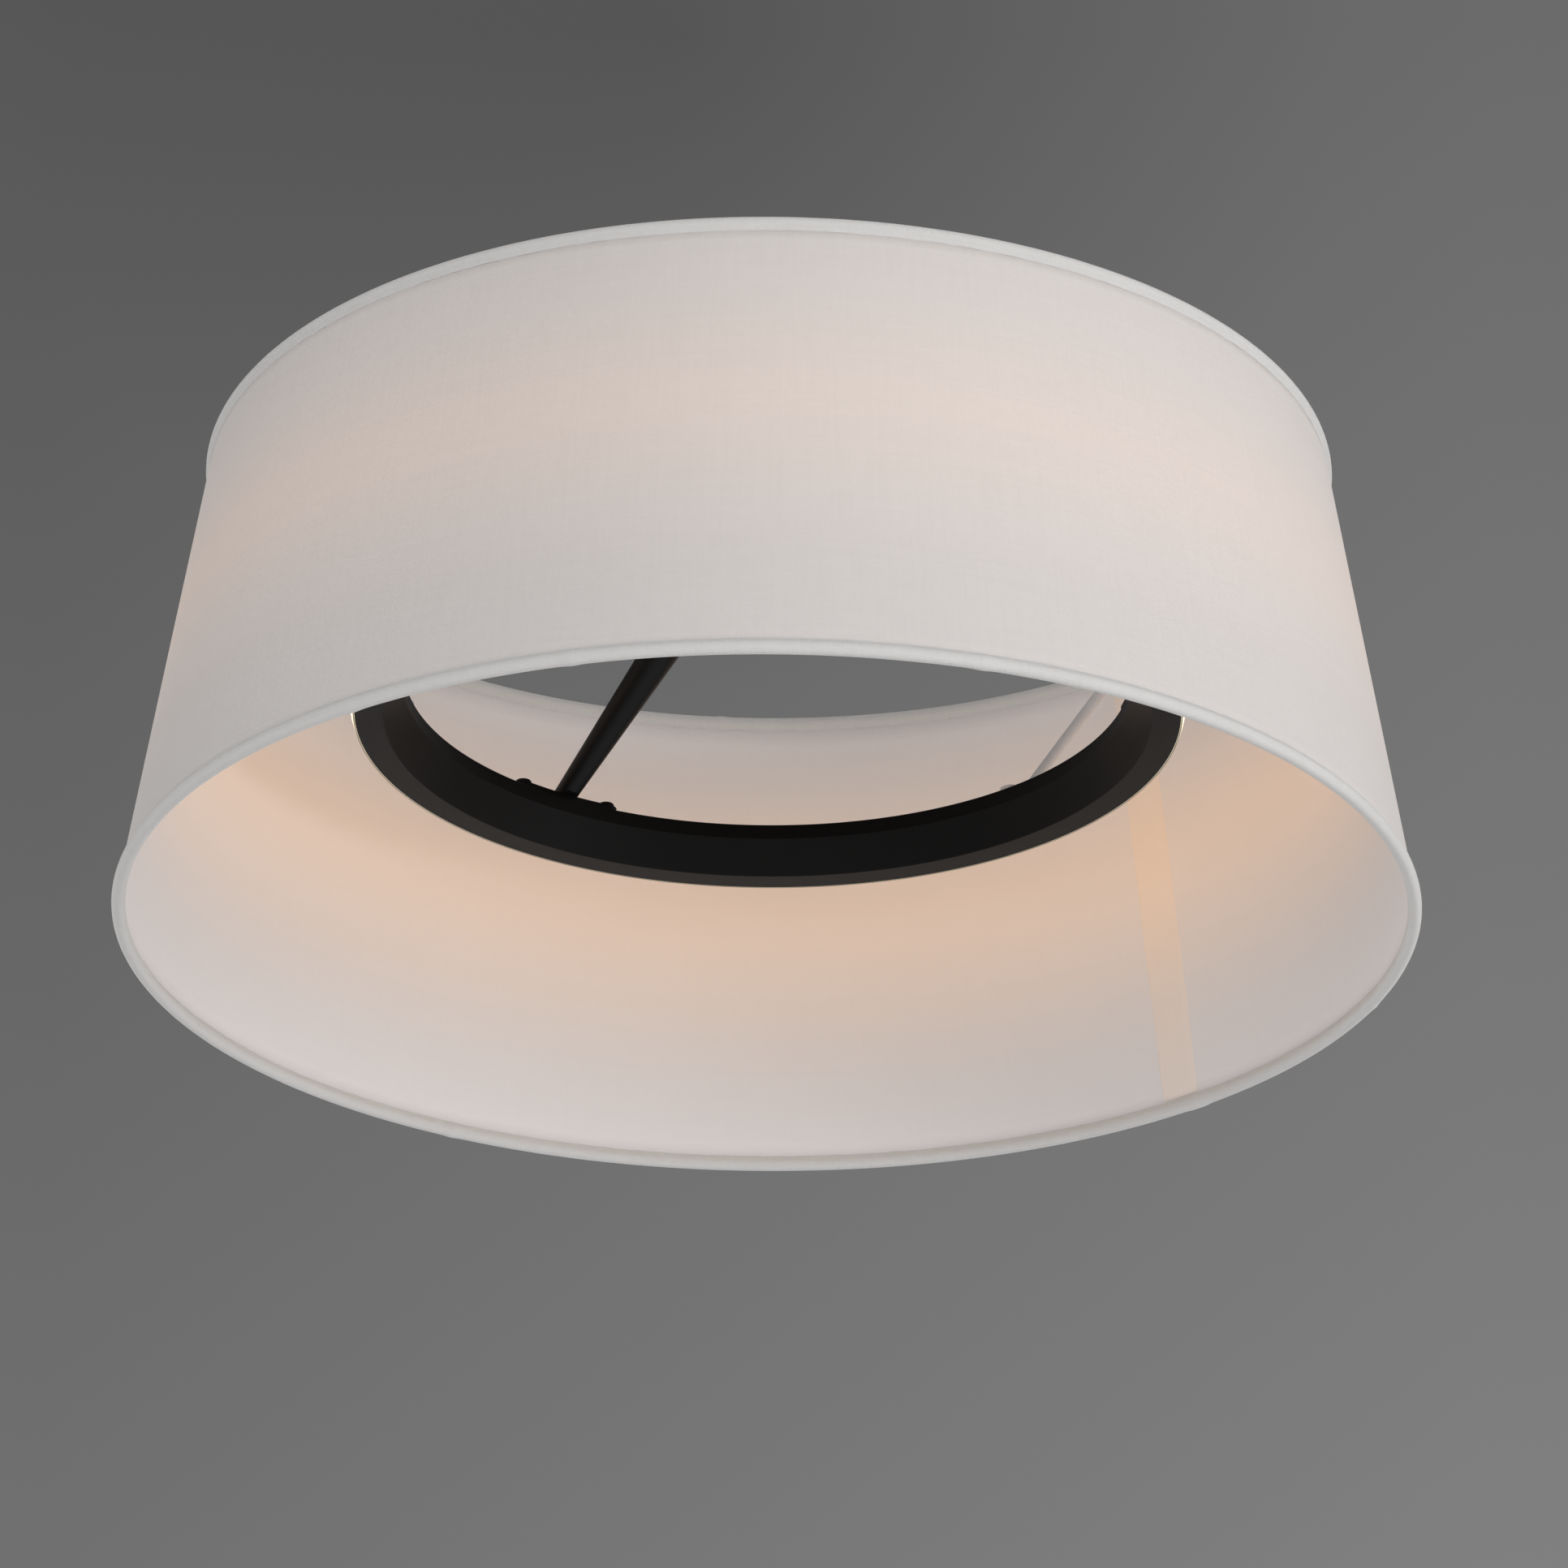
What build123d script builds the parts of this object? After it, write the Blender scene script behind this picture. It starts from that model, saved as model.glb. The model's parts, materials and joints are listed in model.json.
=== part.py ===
from build123d import *
from math import asin, atan2, cos, degrees, hypot, radians, sin, tan
import os

# Flush mount ceiling light: a tapered drum shade round a ring light that shines outwards.
# Millimetres. The origin is where the light meets the ceiling, on its upright centre line,
# and +Z points up, so that the whole light hangs below zero.

# ---------------------------------------------------------------------------
# Driving dimensions
# ---------------------------------------------------------------------------

# Shade, measured over its rims
shade_bottom_width = 610.0
shade_top_width = 538.0
shade_height = 233.4
ceiling_gap = 9.9            # open gap between the ceiling and the top rim
rim_wire_radius = 2.45
liner_thickness = 1.0
fabric_thickness = 0.8
hem_thickness = 0.8
hem_outer_leg = 4.2          # how far the hem reaches down or up the outside
hem_inner_leg = 4.0          # and the inside
hem_sides = 16               # sides of the roll round the wire
seam_width = 22.0
seam_thickness = 0.6
seam_azimuth = 47.0

# Ring light
ring_recess = 105.0          # from the middle of the bottom rim wire up to the ring's face
ring_outer_radius = 195.2
ring_face_width = 13.6       # flat part of the face that looks down
ring_width = 22.9            # from the outer edge in to the bore
ring_height = 23.8
ring_slope_height = 16.3     # height of the sloping inner face
ring_wall = 1.6
ring_edge_radius = 0.5
carrier_room = 10.7          # from the bore out to the hoop that the LED strip is bonded to
carrier_thickness = 1.5
strip_height = 12.0
strip_thickness = 0.8
chip_count = 96
chip_width = 2.8
chip_height = 3.5
chip_thickness = 0.7
diffuser_thickness = 1.4     # of the opal band that covers the ring's mouth
diffuser_corner_radius = 0.6
diffuser_leg_thickness = 1.2
diffuser_leg_depth = 4.0     # how far the band's two snap legs reach in between the flanges
lead_hole_radius = 3.2

# Arms, from the ring's top up to the canopy
arm_count = 3
first_arm_azimuth = 4.3
arm_seat_inset = 7.0         # an arm's middle line meets the canopy this far in from its side
arm_seat_height = 11.95      # and this far above its floor
arm_foot_diameter = 10.8
arm_seat_diameter = 19.6
arm_wall = 1.3
plug_length = 8.0
shoe_thickness = 2.3
shoe_width = 10.4
shoe_margin = 0.5            # from the shoe's inner edge in to the ring's bore
shoe_screw_span = 48.4
shoe_pad_radius = 9.2
shoe_neck_length = 9.0
shoe_spigot_length = 10.0
shoe_bore_radius = 2.6

# Struts, from the ring's top out to the shade's top rim
strut_count = 3
first_strut_azimuth = 48.0
strut_diameter = 5.5
strut_foot_reach = 10.0      # from the strut's screw out to where its rod leaves the tab
strut_tab_thickness = 2.0
strut_weld_inset = 3.4       # the strut's end lies this far inside the rim wire's middle
strut_weld_drop = 1.5

# Canopy
canopy_radius = 71.0
canopy_depth = 59.0
canopy_wall = 1.2
canopy_corner_radius = 4.0
flat_depth = 0.9             # depth of the flats pressed into the shoulder for the arms

# Ceiling bracket
strap_length = 104.0
strap_width = 22.0
strap_thickness = 2.0
slot_spacing = 79.4          # takes outlet box screws 70 to 89 mm apart
slot_width = 4.6
slot_length = 14.2
stud_strap_length = 108.0
stud_strap_width = 18.0
stud_spacing = 92.0
stud_diameter = 5.0
stud_tip = 12.0              # thread that stands out below the canopy
swivel_bolt_radius = 3.0
swivel_head_width = 10.0
swivel_head_height = 4.0
earth_screw_offset = 24.0

# Screws and nuts
screw_radius = 2.0
screw_head_radius = 4.0
screw_head_height = 2.6
screw_crown_radius = 1.17
sink_radius = 3.8            # of a countersunk head's top
sink_angle = 90.0
screw_tip = 1.0              # thread that stands out below its nut
clinch_nut_radius = 3.4
clinch_nut_height = 3.5
nipple_radius = 5.0
nipple_bore_radius = 3.2
nipple_overhang = 2.0
arm_nut_width = 14.0
arm_nut_height = 5.0
lock_washer_radius = 8.0
lock_washer_thickness = 0.8
stud_nut_width = 8.0
stud_nut_height = 4.0
cap_nut_radius = 7.0
cap_nut_height = 17.0
cap_nut_flutes = 16
cap_nut_flute_radius = 0.9
cap_nut_crown = 4.5

# Driver and wiring
driver_length = 72.0
driver_width = 32.0
driver_height = 24.0
driver_offset = -5.0
driver_ear = 7.0
driver_ear_thickness = 1.6
driver_corner_radius = 2.5
driver_screw_radius = 1.7
driver_screw_head_radius = 3.2
driver_screw_head_height = 1.7
block_length = 30.0
block_width = 16.0
block_height = 14.0
block_x = -5.0
block_y = -30.0
block_ways = 3
block_hole_radius = 1.6
block_hole_depth = 4.2
block_hole_spacing = 16.5    # between a way's two screws
lead_radius = 1.4
lead_entry_room = 9.0        # from the nipple's mouth to the lead's first bend
lead_entry_bend = 28.0       # where the lead turns into the arm
lead_shoe_bend = 4.0         # where it turns down through the shoe
lead_ring_bend = 3.0         # and out to the LED strip
core_radius = 1.0
core_bend_radius = 4.0
core_first_turn = 5.0        # how far the first core runs before it turns
core_turn_step = 4.0         # and how much further the next one does
core_spacing = 5.0
core_first_y = -8.0
earth_bow = 6.0              # how far the earth lead bows out on its way up
earth_bow_z = -25.0
eyelet_thickness = 0.8
eyelet_length = 9.0
grommet_lip = 0.7

# Clearances
running_clearance = 0.05     # a screw thread or a turning fit, on the radius
seat_clearance = 0.1         # a push fit between faces
hole_clearance = 0.15        # a screw through a plain hole, on the radius

# ---------------------------------------------------------------------------
# Places worked out from the dimensions
# ---------------------------------------------------------------------------

rim_radius = rim_wire_radius + hem_thickness
top_rim_z = -(ceiling_gap + rim_radius)
bottom_rim_z = top_rim_z - (shade_height - 2 * rim_radius)
top_rim_radius = shade_top_width / 2 - rim_radius
bottom_rim_radius = shade_bottom_width / 2 - rim_radius
slant_length = hypot(bottom_rim_radius - top_rim_radius, top_rim_z - bottom_rim_z)
sheet_half = (liner_thickness + fabric_thickness) / 2

ring_bottom_z = bottom_rim_z + ring_recess
ring_top_z = ring_bottom_z + ring_height
ring_middle_z = (ring_bottom_z + ring_top_z) / 2
inner_height = ring_height - 2 * ring_wall
plate_under_z = ring_top_z - ring_wall
ring_bore_radius = ring_outer_radius - ring_width
carrier_radius = ring_bore_radius + carrier_room
carrier_outer = carrier_radius + carrier_thickness
strip_outer = carrier_outer + strip_thickness

shoe_top_z = ring_top_z + shoe_thickness
shoe_inner_edge = ring_bore_radius + shoe_margin
arm_foot_radius = shoe_inner_edge + shoe_width / 2
strut_foot_radius = arm_foot_radius + strut_foot_reach
sink_depth = (sink_radius - screw_radius) / tan(radians(sink_angle / 2))
canopy_floor_z = -canopy_depth
arm_run = arm_foot_radius - (canopy_radius - arm_seat_inset)
arm_climb = canopy_floor_z + arm_seat_height - shoe_top_z
arm_rise = degrees(atan2(arm_climb, arm_run))
arm_length = hypot(arm_run, arm_climb)
arm_azimuths = [first_arm_azimuth + 360 / arm_count * n for n in range(arm_count)]
strut_azimuths = [first_strut_azimuth + 360 / strut_count * n for n in range(strut_count)]
shoe_screw_angle = degrees(asin(shoe_screw_span / 2 / arm_foot_radius))
shoe_screw_azimuths = [a + side * shoe_screw_angle for a in arm_azimuths for side in (-1, 1)]

canopy_inside_z = canopy_floor_z + canopy_wall
strap_under_z = -strap_thickness
stud_strap_under_z = -2 * strap_thickness
driver_ear_offset = driver_length / 2 + driver_ear / 2
nipple_length = plug_length + canopy_wall + lock_washer_thickness + arm_nut_height + nipple_overhang


def radial_plane(azimuth):
    """Upright plane through the centre line: its x runs outwards, its y runs up."""
    a = radians(azimuth)
    return Plane(origin=(0, 0, 0), x_dir=(cos(a), sin(a), 0), z_dir=(sin(a), -cos(a), 0))


def polar(radius, azimuth, z):
    """The point at a radius, an azimuth in degrees and a height."""
    a = radians(azimuth)
    return (radius * cos(a), radius * sin(a), z)


def along_arm(distance):
    """Radius and height of the point this far up an arm's middle line from its shoe."""
    rise = radians(arm_rise)
    return (arm_foot_radius - distance * cos(rise), shoe_top_z + distance * sin(rise))


def arm_plane(azimuth, distance):
    """Plane square to an arm, this far up its middle line, with its normal up the arm."""
    a = radians(azimuth)
    rise = radians(arm_rise)
    radius, z = along_arm(distance)
    up_arm = (-cos(rise) * cos(a), -cos(rise) * sin(a), sin(rise))
    return Plane(origin=polar(radius, azimuth, z), x_dir=(-sin(a), cos(a), 0), z_dir=up_arm)


def arm_radius(distance):
    """Outer radius of the tapered arm, this far up its middle line."""
    share = distance / arm_length
    return (arm_foot_diameter * (1 - share) + arm_seat_diameter * share) / 2


def save(piece, name):
    """Labels a finished piece and writes it to its own file."""
    piece.part.label = name
    export_step(piece.part, "parts/" + name + ".step")


os.makedirs("parts", exist_ok=True)

# ---------------------------------------------------------------------------
# Shade
# ---------------------------------------------------------------------------

# The wall plane's x climbs the middle of the shade's wall from the bottom rim wire to the top
# one, and its y points out of the shade. Every layer of the shade is a section on it.
wall_plane = Plane(
    origin=(bottom_rim_radius, 0, bottom_rim_z),
    x_dir=(top_rim_radius - bottom_rim_radius, 0, top_rim_z - bottom_rim_z),
    z_dir=(0, 1, 0),
)
sheet_start = rim_wire_radius + seat_clearance
sheet_length = slant_length - 2 * sheet_start
liner_face = -sheet_half
fabric_face = liner_face + liner_thickness

with BuildPart() as shade_liner:
    with BuildSketch(wall_plane):
        with Locations((sheet_start, liner_face)):
            Rectangle(sheet_length, liner_thickness, align=(Align.MIN, Align.MIN))
    revolve(axis=Axis.Z)
save(shade_liner, "shade_liner")

with BuildPart() as shade_fabric:
    with BuildSketch(wall_plane):
        with Locations((sheet_start, fabric_face)):
            Rectangle(sheet_length, fabric_thickness, align=(Align.MIN, Align.MIN))
    revolve(axis=Axis.Z)
save(shade_fabric, "shade_fabric")

# The two ends of the liner lap under one upright strip.
seam_margin = hem_inner_leg + seat_clearance
with BuildPart() as shade_seam:
    with BuildSketch(wall_plane):
        with Locations((seam_margin, liner_face)):
            Rectangle(slant_length - 2 * seam_margin, seam_thickness, align=(Align.MIN, Align.MAX))
    revolve(axis=Axis.Z)
    with Locations(radial_plane(seam_azimuth).offset(seam_width / 2)):
        Box(
            shade_bottom_width,
            shade_height * 4,
            seam_width,
            align=(Align.MIN, Align.CENTER, Align.MAX),
            mode=Mode.INTERSECT,
        )
save(shade_seam, "shade_seam")


def rim_wire(radius, z):
    with BuildPart(Plane.XY.offset(z)) as wire:
        Torus(radius, rim_wire_radius)
    return wire


save(rim_wire(top_rim_radius, top_rim_z), "top_rim_wire")
save(rim_wire(bottom_rim_radius, bottom_rim_z), "bottom_rim_wire")


def hem_section(start, direction):
    """A strip creased round a rim wire, with a leg on each face of the shade's wall."""
    leg_side = Align.MIN if direction > 0 else Align.MAX
    with BuildSketch(wall_plane) as section:
        with Locations((start, 0)):
            RegularPolygon(rim_radius, hem_sides)
            Rectangle(hem_outer_leg, sheet_half + hem_thickness, align=(leg_side, Align.MIN))
            Rectangle(hem_inner_leg, sheet_half + hem_thickness, align=(leg_side, Align.MAX))
            Rectangle(
                hem_outer_leg, 2 * sheet_half, align=(leg_side, Align.CENTER), mode=Mode.SUBTRACT
            )
            RegularPolygon(
                rim_wire_radius, hem_sides, major_radius=False, mode=Mode.SUBTRACT
            )
    return section


def strut_axis_point(share):
    """Radius and height of a point on a strut's middle line, from its tab, 0, to the rim, 1."""
    foot_z = ring_top_z + strut_tab_thickness
    end_radius = top_rim_radius - strut_weld_inset
    end_z = top_rim_z - strut_weld_drop
    radius = strut_foot_radius + (end_radius - strut_foot_radius) * share
    return (radius, foot_z + (end_z - foot_z) * share)


def strut_rod(azimuth, radius):
    """A round rod on a strut's middle line. It starts inside the ring, to be cut at the tab."""
    foot_r, foot_z = strut_axis_point(0)
    end_r, end_z = strut_axis_point(1)
    below = strut_diameter
    length = hypot(end_r - foot_r, end_z - foot_z)
    foot = Vector(*polar(foot_r, azimuth, foot_z))
    end = Vector(*polar(end_r, azimuth, end_z))
    direction = (end - foot).normalized()
    with BuildPart(Plane(origin=foot - direction * below, z_dir=direction)) as rod:
        Cylinder(
            radius, length + below, align=(Align.CENTER, Align.CENTER, Align.MIN)
        )
    return rod.part


top_hem_section = hem_section(slant_length, -1)
bottom_hem_section = hem_section(0, 1)
hem_notches = [strut_rod(a, strut_diameter / 2 + seat_clearance) for a in strut_azimuths]

with BuildPart() as top_hem:
    revolve(top_hem_section.sketch, axis=Axis.Z)
    add(hem_notches, mode=Mode.SUBTRACT)
save(top_hem, "top_hem")

with BuildPart() as bottom_hem:
    revolve(bottom_hem_section.sketch, axis=Axis.Z)
save(bottom_hem, "bottom_hem")

# ---------------------------------------------------------------------------
# Ring light
# ---------------------------------------------------------------------------

ring_face_inner = ring_outer_radius - ring_face_width
ring_slope_top_z = ring_bottom_z + ring_slope_height
ring_outline = [
    (ring_face_inner, ring_bottom_z),
    (ring_outer_radius, ring_bottom_z),
    (ring_outer_radius, ring_top_z),
    (ring_bore_radius, ring_top_z),
    (ring_bore_radius, ring_slope_top_z),
]
screw_hole_azimuths = shoe_screw_azimuths + strut_azimuths

with BuildSketch(Plane.XZ) as ring_cavity:
    with BuildLine():
        Polyline(*ring_outline, close=True)
    make_face()
    offset(amount=-ring_wall, kind=Kind.INTERSECTION)
    with Locations((carrier_radius, ring_middle_z)):
        Rectangle(2 * ring_face_width, inner_height, align=(Align.MIN, Align.CENTER))

with BuildPart() as ring_housing:
    with BuildSketch(Plane.XZ) as ring_section:
        with BuildLine():
            Polyline(*ring_outline, close=True)
        make_face()
        fillet(ring_section.vertices(), ring_edge_radius)
        add(ring_cavity.sketch, mode=Mode.SUBTRACT)
    revolve(axis=Axis.Z)
    hole_points = [polar(arm_foot_radius, a, ring_top_z) for a in screw_hole_azimuths]
    with Locations(*hole_points):
        Hole(screw_radius + hole_clearance, depth=2 * ring_wall)
    with Locations(polar(arm_foot_radius, first_arm_azimuth, ring_top_z)):
        Hole(lead_hole_radius, depth=2 * ring_wall)
save(ring_housing, "ring_housing")


def band(inner, outer, height):
    """An upright hoop centred on the middle of the ring's height."""
    with BuildSketch(Plane.XZ) as section:
        with Locations((inner, ring_middle_z)):
            Rectangle(outer - inner, height, align=(Align.MIN, Align.CENTER))
    return section


carrier_section = band(carrier_radius, carrier_outer, inner_height)
with BuildPart() as led_carrier:
    revolve(carrier_section.sketch, axis=Axis.Z)
    lead_window = radial_plane(first_arm_azimuth)
    with Locations(
        Plane(
            origin=polar(carrier_radius, first_arm_azimuth, ring_middle_z),
            z_dir=lead_window.x_dir,
        )
    ):
        Cylinder(lead_radius + hole_clearance, 4 * carrier_thickness, mode=Mode.SUBTRACT)
save(led_carrier, "led_carrier")

strip_section = band(carrier_outer, strip_outer, strip_height)
with BuildPart() as led_strip:
    revolve(strip_section.sketch, axis=Axis.Z)
save(led_strip, "led_strip")

with BuildPart(Plane.XY.offset(ring_middle_z)) as led_chips:
    with PolarLocations(strip_outer, chip_count):
        Box(
            chip_thickness,
            chip_width,
            chip_height,
            align=(Align.MIN, Align.CENTER, Align.CENTER),
        )
save(led_chips, "led_chips")

# The opal band lies on the flanges' edges and is held by two legs that snap in between them.
diffuser_inner_radius = ring_outer_radius + seat_clearance
diffuser_mouth = inner_height - 2 * seat_clearance
with BuildPart() as ring_diffuser:
    with BuildSketch(Plane.XZ) as band_section:
        with Locations((diffuser_inner_radius, ring_middle_z)):
            Rectangle(diffuser_thickness, ring_height, align=(Align.MIN, Align.CENTER))
        outer_corners = band_section.vertices().group_by(Axis.X)[-1]
        fillet(outer_corners, diffuser_corner_radius)
        with Locations((diffuser_inner_radius, ring_middle_z)):
            Rectangle(diffuser_leg_depth, diffuser_mouth, align=(Align.MAX, Align.CENTER))
            Rectangle(
                diffuser_leg_depth,
                diffuser_mouth - 2 * diffuser_leg_thickness,
                align=(Align.MAX, Align.CENTER),
                mode=Mode.SUBTRACT,
            )
    revolve(axis=Axis.Z)
save(ring_diffuser, "ring_diffuser")

# Pressed-in nuts under the ring's top plate take the shoe and strut screws.
nut_points = [polar(arm_foot_radius, a, plate_under_z) for a in screw_hole_azimuths]
with BuildPart() as clinch_nuts:
    with Locations(*nut_points):
        Cylinder(
            clinch_nut_radius,
            clinch_nut_height,
            align=(Align.CENTER, Align.CENTER, Align.MAX),
        )
        Cylinder(screw_radius + running_clearance, 4 * clinch_nut_height, mode=Mode.SUBTRACT)
save(clinch_nuts, "clinch_nuts")


def pan_screws(seat_points, grip):
    """Pan-head screws: a domed head above each seat point and a shank through the grip."""
    with BuildPart() as screws:
        with Locations(*seat_points):
            Cylinder(
                screw_head_radius,
                screw_head_height,
                align=(Align.CENTER, Align.CENTER, Align.MIN),
            )
        fillet(screws.edges().group_by(Axis.Z)[-1], screw_crown_radius)
        with Locations(*seat_points):
            Cylinder(screw_radius, grip, align=(Align.CENTER, Align.CENTER, Align.MAX))
    return screws


def sunk_screws(seat_points, grip):
    """Countersunk screws: a cone that ends flush with each seat point and a shank through the grip."""
    with BuildPart() as screws:
        with Locations(*seat_points):
            Cone(
                screw_radius,
                sink_radius,
                sink_depth,
                align=(Align.CENTER, Align.CENTER, Align.MAX),
            )
            Cylinder(screw_radius, grip, align=(Align.CENTER, Align.CENTER, Align.MAX))
    return screws


thread_reach = ring_wall + clinch_nut_height + screw_tip
shoe_seats = [polar(arm_foot_radius, a, shoe_top_z) for a in shoe_screw_azimuths]
save(pan_screws(shoe_seats, shoe_thickness + thread_reach), "shoe_screws")

strut_seats = [
    polar(arm_foot_radius, a, ring_top_z + strut_tab_thickness) for a in strut_azimuths
]
save(sunk_screws(strut_seats, strut_tab_thickness + thread_reach), "strut_screws")

# ---------------------------------------------------------------------------
# Arms
# ---------------------------------------------------------------------------


def tapered(azimuth, start, end, inset):
    """A solid length of the arm's taper, drawn in by an inset."""
    with BuildPart(arm_plane(azimuth, start)) as taper:
        Cone(
            arm_radius(start) - inset,
            arm_radius(end) - inset,
            end - start,
            align=(Align.CENTER, Align.CENTER, Align.MIN),
        )
    return taper.part


def arm_tube(azimuth):
    """The hollow tapered arm, cut square at its shoe and at the canopy."""
    outside = tapered(azimuth, shoe_neck_length, arm_length, 0)
    hollow = tapered(azimuth, shoe_neck_length, arm_length, arm_wall)
    with BuildPart() as arm:
        add(outside)
        add(hollow, mode=Mode.SUBTRACT)
    return arm


spigot_radius = arm_radius(shoe_neck_length) - arm_wall - running_clearance


def arm_shoe(azimuth):
    """Plate on the ring's top with a sloping neck, cut level at the plate, that plugs the arm."""
    neck_body = tapered(azimuth, -2 * shoe_pad_radius, shoe_neck_length, 0)
    plate_plane = Plane.XY.offset(ring_top_z)
    with BuildPart() as neck:
        add(neck_body)
        with Locations(plate_plane.offset(shoe_thickness)):
            Box(
                3 * ring_outer_radius,
                3 * ring_outer_radius,
                ring_outer_radius,
                align=(Align.CENTER, Align.CENTER, Align.MIN),
                mode=Mode.INTERSECT,
            )
    with BuildPart() as shoe:
        with BuildSketch(plate_plane):
            middle_line = CenterArc(
                (0, 0), arm_foot_radius, azimuth - shoe_screw_angle, 2 * shoe_screw_angle
            )
            SlotArc(middle_line, shoe_width)
            with Locations(polar(shoe_inner_edge + shoe_pad_radius, azimuth, 0)):
                Circle(shoe_pad_radius)
        extrude(amount=shoe_thickness)
        add(neck.part)
        with Locations(arm_plane(azimuth, shoe_neck_length)):
            Cylinder(
                spigot_radius,
                shoe_spigot_length,
                align=(Align.CENTER, Align.CENTER, Align.MIN),
            )
        screw_angles = (azimuth - shoe_screw_angle, azimuth + shoe_screw_angle)
        with Locations(*[polar(arm_foot_radius, a, shoe_top_z) for a in screw_angles]):
            Hole(screw_radius + hole_clearance, depth=2 * shoe_thickness)
        with Locations(arm_plane(azimuth, 0)):
            Cylinder(
                shoe_bore_radius,
                shoe_neck_length + 2 * shoe_spigot_length,
                align=(Align.CENTER, Align.CENTER, Align.MIN),
                mode=Mode.SUBTRACT,
            )
            Sphere(shoe_bore_radius, mode=Mode.SUBTRACT)
        with Locations(polar(arm_foot_radius, azimuth, shoe_top_z)):
            Cylinder(
                shoe_bore_radius,
                2 * shoe_thickness,
                align=(Align.CENTER, Align.CENTER, Align.MAX),
                mode=Mode.SUBTRACT,
            )
    return shoe


for number, azimuth in enumerate(arm_azimuths, start=1):
    save(arm_tube(azimuth), "arm_" + str(number))
    save(arm_shoe(azimuth), "arm_shoe_" + str(number))

# The threaded plug, hollow nipple, lock washer and nut at the top of each arm
plug_start = arm_length - plug_length
washer_start = arm_length + canopy_wall
nut_start = washer_start + lock_washer_thickness
plug_tapers = [tapered(a, plug_start, arm_length, arm_wall) for a in arm_azimuths]

with BuildPart() as arm_plugs:
    add(plug_tapers)
    with Locations(*[arm_plane(a, plug_start) for a in arm_azimuths]):
        Cylinder(nipple_radius + running_clearance, 4 * plug_length, mode=Mode.SUBTRACT)
save(arm_plugs, "arm_plugs")

with BuildPart() as arm_nipples:
    with Locations(*[arm_plane(a, plug_start) for a in arm_azimuths]):
        Cylinder(nipple_radius, nipple_length, align=(Align.CENTER, Align.CENTER, Align.MIN))
        Cylinder(nipple_bore_radius, 4 * nipple_length, mode=Mode.SUBTRACT)
save(arm_nipples, "arm_nipples")

with BuildPart() as arm_washers:
    with Locations(*[arm_plane(a, washer_start) for a in arm_azimuths]):
        Cylinder(
            lock_washer_radius,
            lock_washer_thickness,
            align=(Align.CENTER, Align.CENTER, Align.MIN),
        )
        Cylinder(nipple_radius + hole_clearance, 4 * lock_washer_thickness, mode=Mode.SUBTRACT)
save(arm_washers, "arm_washers")

with BuildPart() as arm_nuts:
    for azimuth in arm_azimuths:
        with BuildSketch(arm_plane(azimuth, nut_start)):
            RegularPolygon(arm_nut_width / 2, 6, major_radius=False)
            Circle(nipple_radius + running_clearance, mode=Mode.SUBTRACT)
    extrude(amount=arm_nut_height)
save(arm_nuts, "arm_nuts")

# ---------------------------------------------------------------------------
# Struts
# ---------------------------------------------------------------------------

top_wire_body = rim_wire(top_rim_radius, top_rim_z).part


def shade_strut(azimuth):
    """A rod from a screwed tab on the ring up to the rim wire, coped to the wire."""
    rod_body = strut_rod(azimuth, strut_diameter / 2)
    tab_plane = Plane.XY.offset(ring_top_z)
    with BuildPart() as strut:
        add(rod_body)
        with Locations(tab_plane.offset(strut_tab_thickness)):
            Box(
                shade_bottom_width,
                shade_bottom_width,
                shade_height,
                align=(Align.CENTER, Align.CENTER, Align.MIN),
                mode=Mode.INTERSECT,
            )
        add(top_wire_body, mode=Mode.SUBTRACT)
        with BuildSketch(tab_plane):
            tab_middle = (arm_foot_radius + strut_foot_radius) / 2
            with Locations(polar(tab_middle, azimuth, 0)):
                SlotCenterToCenter(
                    strut_foot_radius - arm_foot_radius, shoe_width, rotation=azimuth
                )
        extrude(amount=strut_tab_thickness)
        with Locations(polar(arm_foot_radius, azimuth, ring_top_z + strut_tab_thickness)):
            CounterSinkHole(
                screw_radius + hole_clearance,
                sink_radius + seat_clearance,
                depth=2 * strut_tab_thickness,
                counter_sink_angle=sink_angle,
            )
    return strut


for number, azimuth in enumerate(strut_azimuths, start=1):
    save(shade_strut(azimuth), "shade_strut_" + str(number))

# ---------------------------------------------------------------------------
# Canopy
# ---------------------------------------------------------------------------


def shoulder_at_radius(radius, inset):
    """Height where the sloping shoulder, square to the arms, reaches a radius."""
    line_radius, line_z = along_arm(arm_length - flat_depth + inset)
    return line_z + (radius - line_radius) / tan(radians(arm_rise))


def shoulder_at_height(z, inset):
    """Radius where the sloping shoulder reaches a height."""
    line_radius, line_z = along_arm(arm_length - flat_depth + inset)
    return line_radius + (z - line_z) * tan(radians(arm_rise))


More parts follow.
